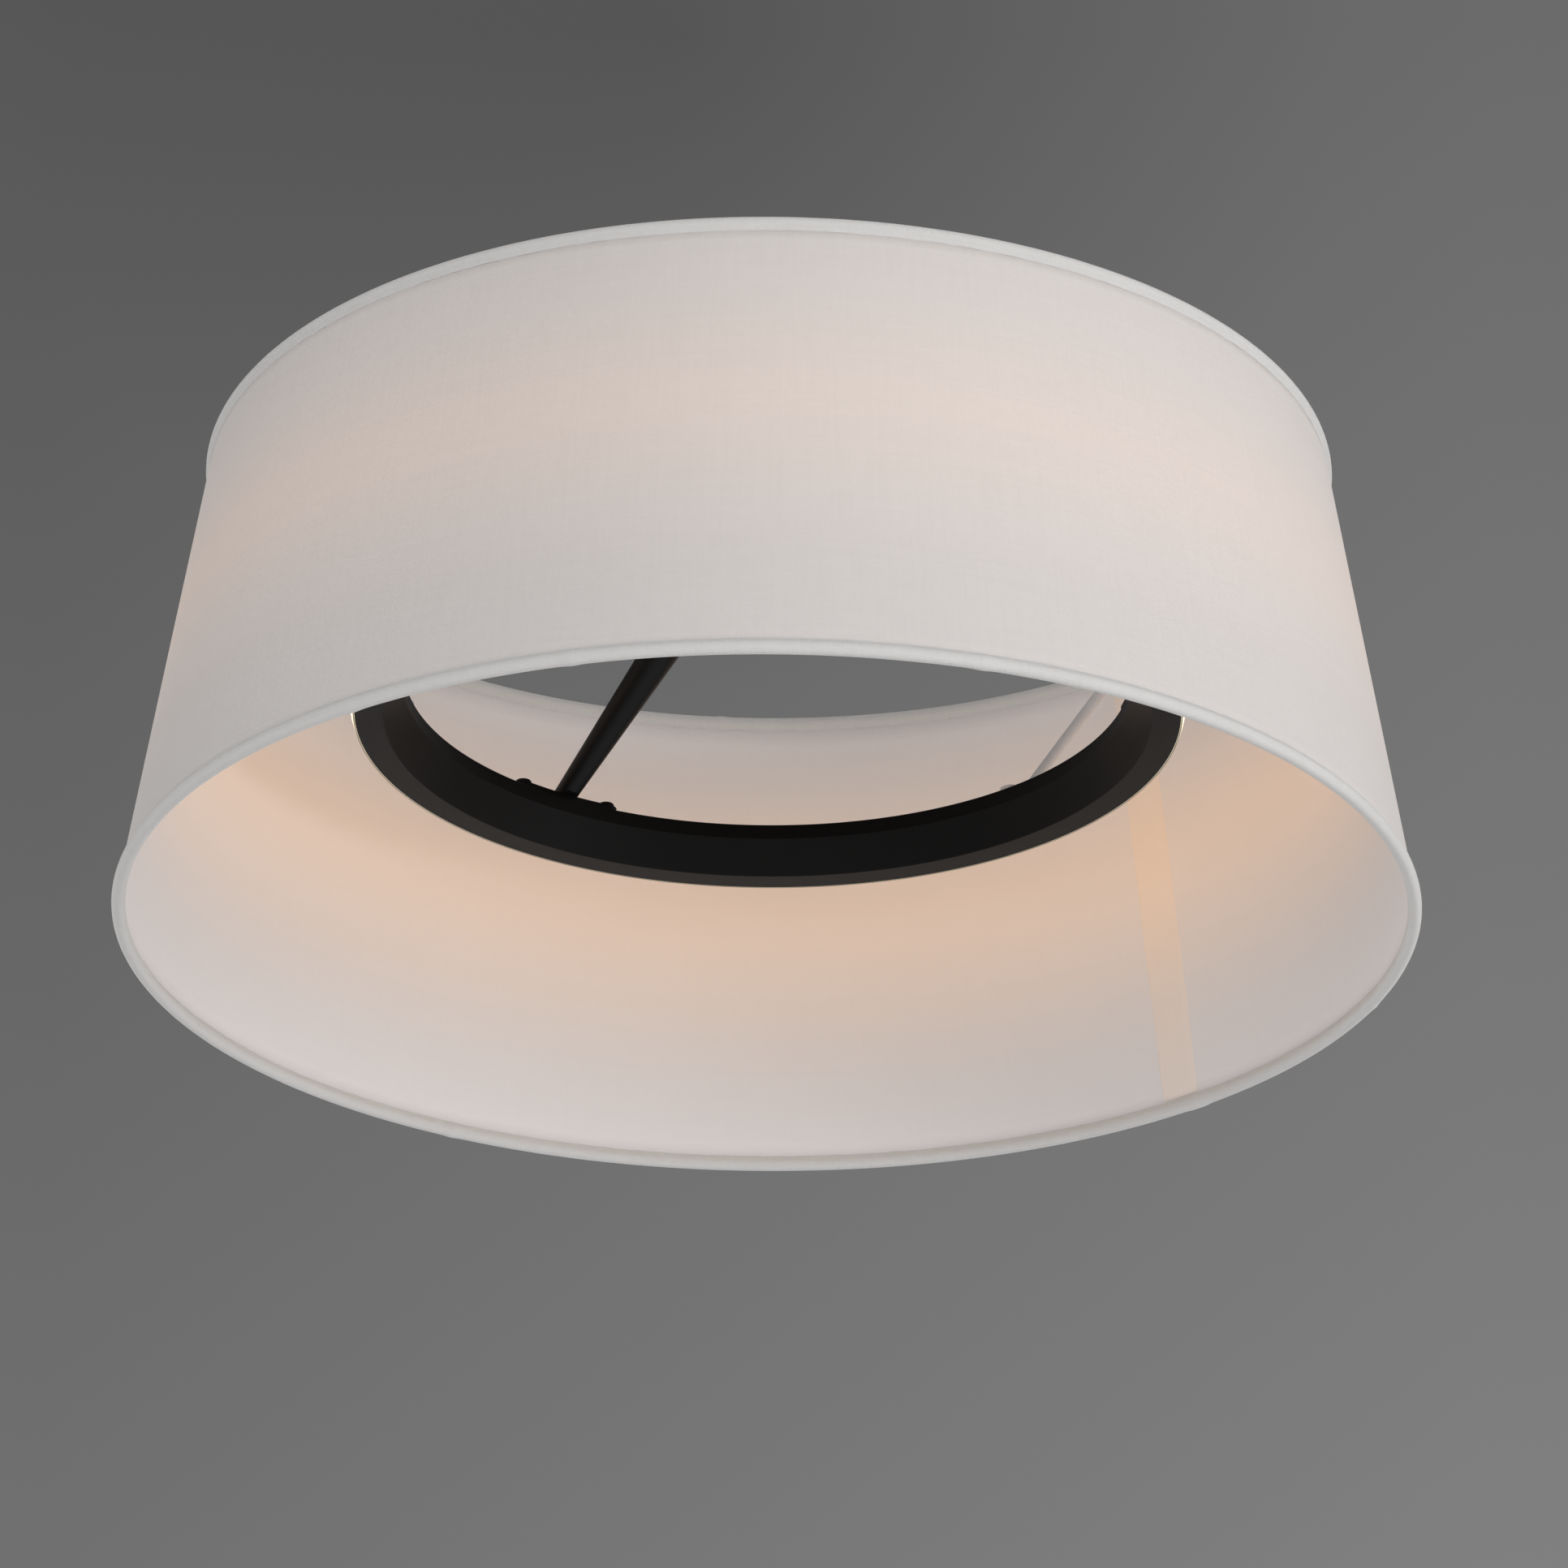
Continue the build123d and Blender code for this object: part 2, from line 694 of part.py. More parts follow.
def canopy_form(inset, top_z):
    """The canopy's pan as a solid, drawn in by an inset, with a flat pressed for each arm."""
    floor_z = canopy_floor_z + inset
    wall_radius = canopy_radius - inset
    floor_radius = shoulder_at_height(floor_z, inset)
    shoulder_z = shoulder_at_radius(wall_radius, inset)
    with BuildPart() as form:
        with BuildSketch(Plane.XZ) as section:
            with BuildLine():
                Polyline(
                    (0, floor_z),
                    (floor_radius, floor_z),
                    (wall_radius, shoulder_z),
                    (wall_radius, top_z),
                    (0, top_z),
                    close=True,
                )
            make_face()
            corners = section.vertices().filter_by(lambda v: v.X > 1).group_by(Axis.Y)[0:2]
            fillet([v for group in corners for v in group], canopy_corner_radius - inset)
        revolve(axis=Axis.Z)
        with Locations(*[arm_plane(a, arm_length + inset) for a in arm_azimuths]):
            Box(
                canopy_radius,
                canopy_radius,
                canopy_radius,
                align=(Align.CENTER, Align.CENTER, Align.MAX),
                mode=Mode.SUBTRACT,
            )
    return form.part


canopy_outside = canopy_form(0, 0)
canopy_inside = canopy_form(canopy_wall, canopy_wall)
stud_points = [(0, side * stud_spacing / 2) for side in (-1, 1)]
driver_screw_points = [(driver_offset + side * driver_ear_offset, 0) for side in (-1, 1)]

with BuildPart() as canopy:
    add(canopy_outside)
    add(canopy_inside, mode=Mode.SUBTRACT)
    with Locations(*[(x, y, canopy_inside_z) for x, y in stud_points]):
        Hole(stud_diameter / 2 + hole_clearance, depth=2 * canopy_wall)
    with Locations(*[(x, y, canopy_inside_z) for x, y in driver_screw_points]):
        Hole(driver_screw_radius + running_clearance, depth=2 * canopy_wall)
    with Locations(*[arm_plane(a, arm_length) for a in arm_azimuths]):
        Cylinder(nipple_radius + hole_clearance, 4 * canopy_wall, mode=Mode.SUBTRACT)
save(canopy, "canopy")

# ---------------------------------------------------------------------------
# Ceiling bracket
# ---------------------------------------------------------------------------

with BuildPart() as ceiling_strap:
    with BuildSketch():
        SlotOverall(strap_length, strap_width)
        with GridLocations(slot_spacing, 0, 2, 1):
            SlotOverall(slot_length, slot_width, mode=Mode.SUBTRACT)
        Circle(swivel_bolt_radius + running_clearance, mode=Mode.SUBTRACT)
        with Locations((earth_screw_offset, 0)):
            Circle(screw_radius + running_clearance, mode=Mode.SUBTRACT)
    extrude(amount=-strap_thickness)
save(ceiling_strap, "ceiling_strap")

with BuildPart() as stud_strap:
    with BuildSketch(Plane.XY.offset(strap_under_z)):
        SlotOverall(stud_strap_length, stud_strap_width, rotation=90)
        Circle(swivel_bolt_radius + hole_clearance, mode=Mode.SUBTRACT)
        with Locations(*stud_points):
            Circle(stud_diameter / 2 + running_clearance, mode=Mode.SUBTRACT)
    extrude(amount=-strap_thickness)
save(stud_strap, "stud_strap")

with BuildPart() as swivel_bolt:
    with BuildSketch(Plane.XY.offset(stud_strap_under_z)):
        RegularPolygon(swivel_head_width / 2, 6, major_radius=False)
    extrude(amount=-swivel_head_height)
    with Locations((0, 0, stud_strap_under_z)):
        Cylinder(
            swivel_bolt_radius,
            2 * strap_thickness,
            align=(Align.CENTER, Align.CENTER, Align.MIN),
        )
save(swivel_bolt, "swivel_bolt")

eyelet_under_z = strap_under_z - eyelet_thickness
with BuildPart() as earth_screw:
    with Locations((earth_screw_offset, 0, eyelet_under_z)):
        Cylinder(
            screw_head_radius,
            screw_head_height,
            align=(Align.CENTER, Align.CENTER, Align.MAX),
        )
        Cylinder(
            screw_radius,
            strap_thickness + eyelet_thickness,
            align=(Align.CENTER, Align.CENTER, Align.MIN),
        )
save(earth_screw, "earth_screw")

stud_top_z = strap_under_z
stud_bottom_z = canopy_floor_z - stud_tip
with BuildPart() as canopy_studs:
    with Locations(*[(x, y, stud_top_z) for x, y in stud_points]):
        Cylinder(
            stud_diameter / 2,
            stud_top_z - stud_bottom_z,
            align=(Align.CENTER, Align.CENTER, Align.MAX),
        )
save(canopy_studs, "canopy_studs")

with BuildPart() as stud_nuts:
    with BuildSketch(Plane.XY.offset(stud_strap_under_z)):
        with Locations(*stud_points):
            RegularPolygon(stud_nut_width / 2, 6, major_radius=False)
            Circle(stud_diameter / 2 + running_clearance, mode=Mode.SUBTRACT)
    extrude(amount=-stud_nut_height)
save(stud_nuts, "stud_nuts")


def cap_nut(x, y):
    """A round nut with a fluted grip and a domed end, threaded blind from the canopy's side."""
    seat_z = canopy_floor_z - seat_clearance
    with BuildPart(Plane.XY.offset(seat_z)) as nut:
        with BuildSketch(Plane(origin=(x, y, seat_z))):
            Circle(cap_nut_radius)
            with PolarLocations(cap_nut_radius, cap_nut_flutes):
                Circle(cap_nut_flute_radius, mode=Mode.SUBTRACT)
        extrude(amount=-(cap_nut_height - cap_nut_crown))
        with Locations((x, y, -(cap_nut_height - cap_nut_crown))):
            Cylinder(
                cap_nut_radius - cap_nut_flute_radius,
                cap_nut_crown,
                align=(Align.CENTER, Align.CENTER, Align.MAX),
            )
        fillet(nut.edges().group_by(Axis.Z)[0], cap_nut_crown - cap_nut_flute_radius)
        with Locations((x, y, 0)):
            Cylinder(
                stud_diameter / 2 + running_clearance,
                stud_tip + seat_clearance,
                align=(Align.CENTER, Align.CENTER, Align.MAX),
                mode=Mode.SUBTRACT,
            )
    return nut


for number, (x, y) in enumerate(stud_points, start=1):
    save(cap_nut(x, y), "cap_nut_" + str(number))

# ---------------------------------------------------------------------------
# Driver and wiring, inside the canopy
# ---------------------------------------------------------------------------

driver_plane = Plane(origin=(driver_offset, 0, canopy_inside_z))
with BuildPart(driver_plane) as led_driver:
    Box(
        driver_length,
        driver_width,
        driver_height,
        align=(Align.CENTER, Align.CENTER, Align.MIN),
    )
    fillet(led_driver.edges().filter_by(Axis.Z), driver_corner_radius)
    with BuildSketch(driver_plane):
        RectangleRounded(driver_length + 2 * driver_ear, driver_width, driver_corner_radius)
        with GridLocations(2 * driver_ear_offset, 0, 2, 1):
            Circle(driver_screw_radius + hole_clearance, mode=Mode.SUBTRACT)
    extrude(amount=driver_ear_thickness)
save(led_driver, "led_driver")

ear_top_z = canopy_inside_z + driver_ear_thickness
with BuildPart() as driver_screws:
    with Locations(*[(x, y, ear_top_z) for x, y in driver_screw_points]):
        Cylinder(
            driver_screw_head_radius,
            driver_screw_head_height,
            align=(Align.CENTER, Align.CENTER, Align.MIN),
        )
        Cylinder(
            driver_screw_radius,
            driver_ear_thickness + canopy_wall,
            align=(Align.CENTER, Align.CENTER, Align.MAX),
        )
save(driver_screws, "driver_screws")

block_plane = Plane(origin=(block_x, block_y, canopy_inside_z))
way_pitch = block_width / block_ways
with BuildPart(block_plane) as terminal_block:
    Box(
        block_length,
        block_width,
        block_height,
        align=(Align.CENTER, Align.CENTER, Align.MIN),
    )
    with BuildSketch(block_plane.offset(block_height)):
        with GridLocations(block_hole_spacing, way_pitch, 2, block_ways):
            Circle(block_hole_radius)
    extrude(amount=-block_hole_depth, mode=Mode.SUBTRACT)
save(terminal_block, "terminal_block")


def lead(points, radii, radius):
    """A round lead along straight runs joined by arcs."""
    with BuildPart() as wire:
        with BuildLine() as route:
            FilletPolyline(*points, radius=radii)
        start = route.line ^ 0
        with BuildSketch(Plane(origin=start.position, z_dir=(route.line % 0))):
            Circle(radius)
        sweep()
    return wire


driver_end_x = driver_offset - driver_length / 2
block_end_x = block_x - block_length / 2
core_z = canopy_inside_z + driver_height / 2
block_core_z = canopy_inside_z + block_height / 2
with BuildPart() as driver_leads:
    for core in range(2):
        turn_x = driver_end_x - core_first_turn - core * core_turn_step
        core_y = core_first_y + core * core_spacing
        way_y = block_y + (0.5 - core) * way_pitch
        points = [
            (driver_end_x, core_y, core_z),
            (turn_x, core_y, core_z),
            (turn_x, way_y, block_core_z),
            (block_end_x, way_y, block_core_z),
        ]
        add(lead(points, core_bend_radius, core_radius).part)
save(driver_leads, "driver_leads")

# The earth lead runs from the terminal block up to an eyelet under the earth screw's head.
earth_z = strap_under_z - core_radius - seat_clearance
earth_points = [
    (earth_screw_offset, -eyelet_length, earth_z),
    (earth_screw_offset, -2 * eyelet_length, earth_z),
    (earth_screw_offset + earth_bow, (block_y - 2 * eyelet_length) / 2, earth_bow_z),
    (earth_screw_offset, block_y, block_core_z),
    (block_x + block_length / 2, block_y, block_core_z),
]
earth_wire = lead(earth_points, core_bend_radius, core_radius)
with BuildPart() as earth_lead:
    with BuildSketch(Plane.XY.offset(eyelet_under_z)):
        with Locations((earth_screw_offset, 0)):
            Circle(screw_head_radius)
            Rectangle(2 * core_radius, eyelet_length + core_radius, align=(Align.CENTER, Align.MAX))
            Circle(screw_radius + hole_clearance, mode=Mode.SUBTRACT)
    extrude(amount=eyelet_thickness)
    add(earth_wire.part)
save(earth_lead, "earth_lead")

# The ring's lead leaves the driver's other end, turns into the first arm's nipple, runs down
# the hollow arm, and turns down through the shoe and the ring's top plate to the LED strip.
nipple_mouth = plug_start + nipple_length
bend_radius, bend_z = along_arm(nipple_mouth + lead_entry_room)
foot_radius, foot_z = along_arm(0)
driver_face_x = driver_offset + driver_length / 2 + seat_clearance
driver_lead_radius = driver_face_x / cos(radians(first_arm_azimuth))
led_lead_points = [
    polar(driver_lead_radius, first_arm_azimuth, bend_z),
    polar(bend_radius, first_arm_azimuth, bend_z),
    polar(foot_radius, first_arm_azimuth, foot_z),
    polar(foot_radius, first_arm_azimuth, ring_middle_z),
    polar(carrier_outer, first_arm_azimuth, ring_middle_z),
]
led_lead = lead(
    led_lead_points, [lead_entry_bend, lead_shoe_bend, lead_ring_bend], lead_radius
)
save(led_lead, "led_lead")

with BuildPart() as lead_grommet:
    with Locations(polar(arm_foot_radius, first_arm_azimuth, plate_under_z)):
        Cylinder(
            lead_hole_radius - running_clearance,
            ring_wall,
            align=(Align.CENTER, Align.CENTER, Align.MIN),
        )
        Cylinder(
            lead_hole_radius + grommet_lip,
            grommet_lip,
            align=(Align.CENTER, Align.CENTER, Align.MAX),
        )
        Cylinder(lead_radius + seat_clearance, 4 * ring_wall, mode=Mode.SUBTRACT)
save(lead_grommet, "lead_grommet")
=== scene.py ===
# %% [markdown]
# # A close-to-ceiling drum light
#
# The real light is a wide tapered drum of pale linen-look cloth, stretched over a stiff white
# sheet and rolled round a wire at each rim. A black ring with a lit opal band hangs inside it on
# three sloping arms. The construction model already holds every piece at its true size, so this
# file loads it as a fixed frame and gives each piece its finish. What a construction model draws
# coarsely, such as cloth and large smooth rings, is made again here as finely meshed surfaces in
# the same place.

# %% Load the frame
import bpy
import json
import math
import numpy as np
from mathutils import Matrix, Vector


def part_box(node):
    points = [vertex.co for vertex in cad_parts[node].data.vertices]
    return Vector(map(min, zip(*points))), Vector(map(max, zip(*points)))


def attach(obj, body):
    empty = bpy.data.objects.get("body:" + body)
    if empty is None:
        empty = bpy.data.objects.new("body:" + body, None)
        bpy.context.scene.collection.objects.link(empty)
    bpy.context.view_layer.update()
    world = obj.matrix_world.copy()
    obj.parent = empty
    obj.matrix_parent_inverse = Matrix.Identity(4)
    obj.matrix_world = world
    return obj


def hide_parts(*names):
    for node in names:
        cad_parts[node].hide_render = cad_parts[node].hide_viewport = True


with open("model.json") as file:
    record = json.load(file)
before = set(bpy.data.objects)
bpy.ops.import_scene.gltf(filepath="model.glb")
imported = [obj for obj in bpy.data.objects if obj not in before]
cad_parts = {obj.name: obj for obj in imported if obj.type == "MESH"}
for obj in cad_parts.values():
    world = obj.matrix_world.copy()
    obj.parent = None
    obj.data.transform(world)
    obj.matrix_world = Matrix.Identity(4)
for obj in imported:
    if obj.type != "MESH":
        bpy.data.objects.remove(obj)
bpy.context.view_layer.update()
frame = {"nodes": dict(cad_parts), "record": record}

body = "fixture"

# %% [markdown]
# ## The places that everything else is worked out from
#
# The frame's own boxes give the rims, the ring and the opal band. Only the sizes that a box can't
# show, such as the thickness of a cloth, are written here, in metres.

# %% Sizes from the frame
millimetre = 0.001


def rim_of(wire):
    """Radius and height of a rim wire's middle line, and the wire's own radius, from its box."""
    low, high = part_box(wire)
    thick = (high[2] - low[2]) / 2
    return high[0] - thick, (low[2] + high[2]) / 2, thick


bottom_radius, bottom_z, wire_radius = rim_of("bottom_rim_wire")
top_radius, top_z, wire_radius = rim_of("top_rim_wire")
slant = math.hypot(bottom_radius - top_radius, top_z - bottom_z)
up_wall = np.array([top_radius - bottom_radius, top_z - bottom_z]) / slant
out_of_wall = np.array([up_wall[1], -up_wall[0]])

# Faces of the wall, as distances outwards from its middle.
backing_face = -0.9 * millimetre
cloth_face = 0.1 * millimetre
cloth_skin = 0.9 * millimetre

# The hems, measured from the rim wire's middle, and the seam inside.
hem_thickness = 0.8 * millimetre
roll_radius = wire_radius + hem_thickness
hem_outer_leg = 4.2 * millimetre
hem_inner_leg = 4.0 * millimetre
seam_azimuth = math.radians(47.0)
seam_width = 22.0 * millimetre
seam_thickness = 0.6 * millimetre

# The ring's section.
ring_low, ring_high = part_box("ring_housing")
ring_radius, ring_bottom_z, ring_top_z = ring_high[0], ring_low[2], ring_high[2]
ring_middle_z = (ring_bottom_z + ring_top_z) / 2
ring_face_width = 13.6 * millimetre
ring_width = 22.9 * millimetre
ring_slope_height = 16.3 * millimetre
ring_wall = 1.6 * millimetre
ring_edge = 0.5 * millimetre
print("slant of the shade", round(slant, 4), "ring radius", round(ring_radius, 4))

# %% [markdown]
# ## The camera
#
# The viewer stands well below and in front, so the far inside wall shows under the near rim. The
# place and the lens were worked out from the ellipses of both rims and of the ring.

# %% Camera
image_side = 1932
focal_pixels = 9575.4
camera_place = Vector((0.0, -3.3283, -1.6840))
camera_pitch, camera_yaw, camera_roll = 0.427518, 0.00235, 0.00448


def aimed(pitch, yaw, roll):
    """Rotation of a camera that looks along +Y, turned by yaw, raised by pitch, then rolled."""
    level = math.cos(pitch)
    ahead = Vector((math.sin(yaw) * level, math.cos(yaw) * level, math.sin(pitch)))
    right = Vector((math.cos(yaw), -math.sin(yaw), 0.0))
    up = right.cross(ahead)
    rolled_right = right * math.cos(roll) + up * math.sin(roll)
    rolled_up = up * math.cos(roll) - right * math.sin(roll)
    return Matrix((rolled_right, rolled_up, -ahead)).transposed()


camera_data = bpy.data.cameras.new("camera")
camera_data.sensor_width = 36.0
camera_data.lens = camera_data.sensor_width * focal_pixels / image_side
camera = bpy.data.objects.new("camera", camera_data)
bpy.context.scene.collection.objects.link(camera)
camera.matrix_world = Matrix.Translation(camera_place) @ aimed(
    camera_pitch, camera_yaw, camera_roll
).to_4x4()
bpy.context.scene.camera = camera
bpy.context.scene.view_settings.view_transform = "Standard"
print("lens in millimetres", round(camera_data.lens, 2))

# %% [markdown]
# ## Helpers for node trees
#
# A material is a small tree of nodes. These helpers add a node, join it to what feeds it, and
# build the shader groups that more than one finish shares.


# %% Node helpers
def node(tree, kind, inputs=(), **settings):
    """Adds a node. A socket given as an input is linked, and anything else is set as its value."""
    made = tree.nodes.new(kind)
    for name, value in settings.items():
        setattr(made, name, value)
    for place, value in dict(inputs).items():
        if isinstance(value, bpy.types.NodeSocket):
            tree.links.new(value, made.inputs[place])
        else:
            made.inputs[place].default_value = value
    return made


def maths(tree, operation, *values):
    """One step of arithmetic on numbers or sockets."""
    return node(tree, "ShaderNodeMath", enumerate(values), operation=operation).outputs[0]


def mixed(tree, share, first, second, blend="MIX"):
    """Blends two colours by a share."""
    inputs = {0: share, 6: first, 7: second}
    return node(tree, "ShaderNodeMix", inputs, data_type="RGBA", blend_type=blend).outputs[2]


def spread(tree, value, from_low, from_high, to_low, to_high):
    """Maps a range of numbers to another, held at its ends."""
    inputs = {0: value, 1: from_low, 2: from_high, 3: to_low, 4: to_high}
    return node(tree, "ShaderNodeMapRange", inputs).outputs[0]


def noise(tree, vector, scale, detail=2.0, roughness=0.5):
    """Smooth noise from 0 to 1 at this many features to the metre."""
    inputs = {"Vector": vector, "Scale": scale, "Detail": detail, "Roughness": roughness}
    return node(tree, "ShaderNodeTexNoise", inputs).outputs["Fac"]


def stretched(tree, vector, sizes):
    """A vector multiplied part by part, to stretch a pattern along one direction."""
    inputs = {0: vector, 1: sizes}
    return node(tree, "ShaderNodeVectorMath", inputs, operation="MULTIPLY").outputs[0]


def shader_group(name, inputs, outputs):
    """An empty node group with named sockets, and its two end nodes."""
    tree = bpy.data.node_groups.new(name, "ShaderNodeTree")
    for socket, kind in inputs:
        tree.interface.new_socket(name=socket, in_out="INPUT", socket_type=kind)
    for socket, kind in outputs:
        tree.interface.new_socket(name=socket, in_out="OUTPUT", socket_type=kind)
    return tree, tree.nodes.new("NodeGroupInput"), tree.nodes.new("NodeGroupOutput")


def placed(tree, group, inputs):
    """Puts a shader group into a material's tree."""
    return node(tree, "ShaderNodeGroup", inputs, node_tree=group)


NUMBER, COLOUR, VECTOR = "NodeSocketFloat", "NodeSocketColor", "NodeSocketVector"

# %% [markdown]
# ## Shared effects
#
# What several finishes share is a node group, so that each finish only gives it numbers. The first
# is cloth. Cloth is warp over weft: each thread is a rounded ridge, and the ridge on top changes
# from one crossing to the next. Linen also has slubs, short thick stretches of yarn, which show as
# faint streaks both ways. Real threads also drift a little sideways. Without that, the even weave
# would make false stripes when it is seen from far away.

# %% Woven cloth
drift_per_metre, drift_reach = 55.0, 0.0030
slub_per_metre, slub_stretch = 520.0, 0.03
cloth_weave, ends, out = shader_group(
    "woven cloth",
    [("Vector", VECTOR), ("Threads per metre", NUMBER)],
    [("Height", NUMBER), ("Slubs", NUMBER)],
)
drift = node(
    cloth_weave,
    "ShaderNodeTexNoise",
    {"Vector": ends.outputs["Vector"], "Scale": drift_per_metre, "Detail": 2.0},
)
wander = stretched(cloth_weave, drift.outputs["Color"], (drift_reach, drift_reach, 0.0))
across = node(
    cloth_weave, "ShaderNodeVectorMath", {0: ends.outputs["Vector"], 1: wander}, operation="ADD"
).outputs[0]
parts = node(cloth_weave, "ShaderNodeSeparateXYZ", {0: across})
turns = [
    maths(cloth_weave, "MULTIPLY", maths(cloth_weave, "MULTIPLY", side, ends.outputs[1]), math.pi)
    for side in (parts.outputs[0], parts.outputs[1])
]
waves = [maths(cloth_weave, "SINE", turn) for turn in turns]
ridges = [maths(cloth_weave, "ABSOLUTE", wave) for wave in waves]
crossing = maths(cloth_weave, "MULTIPLY", waves[0], waves[1])
on_top = spread(cloth_weave, crossing, -0.2, 0.2, 0.0, 1.0)
warp = maths(cloth_weave, "MULTIPLY", ridges[0], on_top)
weft = maths(cloth_weave, "MULTIPLY", ridges[1], maths(cloth_weave, "SUBTRACT", 1.0, on_top))
woven = maths(cloth_weave, "ADD", warp, weft)
slub_up, slub_round = [
    noise(cloth_weave, stretched(cloth_weave, across, sizes), slub_per_metre, 3.0)
    for sizes in ((1.0, slub_stretch, 1.0), (slub_stretch, 1.0, 1.0))
]
slubs = maths(cloth_weave, "MULTIPLY", maths(cloth_weave, "ADD", slub_up, slub_round), 0.5)
cloth_weave.links.new(maths(cloth_weave, "ADD", woven, slubs), out.inputs["Height"])
cloth_weave.links.new(slubs, out.inputs["Slubs"])

# %% [markdown]
# The lamp inside the drum warms the wall in a soft band at the ring's height, and this group paints
# that band as a glow colour. The band is exp(-(distance up or down / reach) ^ sharpness): a low
# sharpness fades softly, as on the cloth, and a high one has nearly straight sides, as on the lit
# band itself.

# %% Lamp glow
lamp_glow, ends, out = shader_group(
    "lamp glow",
    [
        ("Height of lamp", NUMBER),
        ("Reach", NUMBER),
        ("Near", COLOUR),
        ("Far", COLOUR),
        ("Sharpness", NUMBER),
    ],
    [("Colour", COLOUR), ("Band", NUMBER)],
)
place = node(lamp_glow, "ShaderNodeTexCoord").outputs["Object"]
upright = node(lamp_glow, "ShaderNodeSeparateXYZ", {0: place}).outputs[2]
above = maths(lamp_glow, "SUBTRACT", upright, ends.outputs["Height of lamp"])
away = maths(lamp_glow, "DIVIDE", above, ends.outputs["Reach"])
steep = maths(lamp_glow, "POWER", maths(lamp_glow, "ABSOLUTE", away), ends.outputs["Sharpness"])
falloff = maths(lamp_glow, "POWER", math.e, maths(lamp_glow, "MULTIPLY", steep, -1.0))
glow_colour = mixed(lamp_glow, falloff, ends.outputs["Far"], ends.outputs["Near"])
lamp_glow.links.new(glow_colour, out.inputs["Colour"])
lamp_glow.links.new(falloff, out.inputs["Band"])

# %% [markdown]
# Powder is sprayed on dry and melts into a skin in the oven. It leaves a soft orange peel, with a
# finer speckle where single grains stood higher.

# %% Powder coat
peel_share, grain_weight = 0.35, 0.6
powder_coat, ends, out = shader_group(
    "powder coat",
    [("Grain per metre", NUMBER)],
    [("Height", NUMBER), ("Speckle", NUMBER)],
)
place = node(powder_coat, "ShaderNodeTexCoord").outputs["Object"]
peel_scale = maths(powder_coat, "MULTIPLY", ends.outputs[0], peel_share)
peel = noise(powder_coat, place, peel_scale, 2.0)
grain = noise(powder_coat, place, ends.outputs[0], 4.0, 0.65)
raised = maths(powder_coat, "MULTIPLY", grain, grain_weight)
powder_coat.links.new(maths(powder_coat, "ADD", peel, raised), out.inputs["Height"])
powder_coat.links.new(spread(powder_coat, grain, 0.35, 0.65, 0.0, 1.0), out.inputs["Speckle"])

# %% [markdown]
# Dust settles only on what faces up, and lies in patches. The amount says how much of the
# surface's colour it hides at most.

# %% Settled dust
dust_per_metre = 90.0
settled_dust, ends, out = shader_group("settled dust", [("Amount", NUMBER)], [("Mask", NUMBER)])
facing = node(settled_dust, "ShaderNodeNewGeometry").outputs["Normal"]
facing_up = node(settled_dust, "ShaderNodeSeparateXYZ", {0: facing}).outputs[2]
place = node(settled_dust, "ShaderNodeTexCoord").outputs["Object"]
clouds = noise(settled_dust, place, dust_per_metre, 5.0, 0.7)
patches = spread(settled_dust, clouds, 0.35, 0.75, 0.3, 1.0)
level = spread(settled_dust, facing_up, 0.45, 0.95, 0.0, 1.0)
lying = maths(settled_dust, "MULTIPLY", patches, level)
settled_dust.links.new(
    maths(settled_dust, "MULTIPLY", lying, ends.outputs["Amount"]), out.inputs["Mask"]
)
print("shader groups", [group.name for group in bpy.data.node_groups])

# %% [markdown]
# ## The finishes
#
# Each finish is a Principled shader. What is the same all over is set on its own socket, and only
# what changes over the surface is linked.


# %% Material helper
def finish_named(name, **constants):
    """A new material. Returns it with its tree and its Principled shader."""
    material = bpy.data.materials.new(name)
    material.use_nodes = True
    tree = material.node_tree
    shader = tree.nodes["Principled BSDF"]
    for socket, value in constants.items():
        shader.inputs[socket.replace("_", " ")].default_value = value
    return material, tree, shader


def bumped(tree, shader, height, distance):
    """Feeds a height, times a distance in metres, to the shader's normal."""
    inputs = {"Height": height, "Distance": distance, "Strength": 1.0}
    tree.links.new(node(tree, "ShaderNodeBump", inputs).outputs[0], shader.inputs["Normal"])


# %% [markdown]
# ### Cloth, backing sheet and seam tape
#
# All three are pale and matt. The lamp shows through them as a warm band, painted into each
# material as glow colour, so it stays with the model wherever it is used, lit or not. Outside, the
# band has come through two layers, so it is fainter. The hems have four layers and show none.

# %% Cloth finishes
outside_band = {"height": bottom_z + 0.134, "reach": 0.062}
inside_band = {"height": bottom_z + 0.125, "reach": 0.060}
soft_band = 2.0


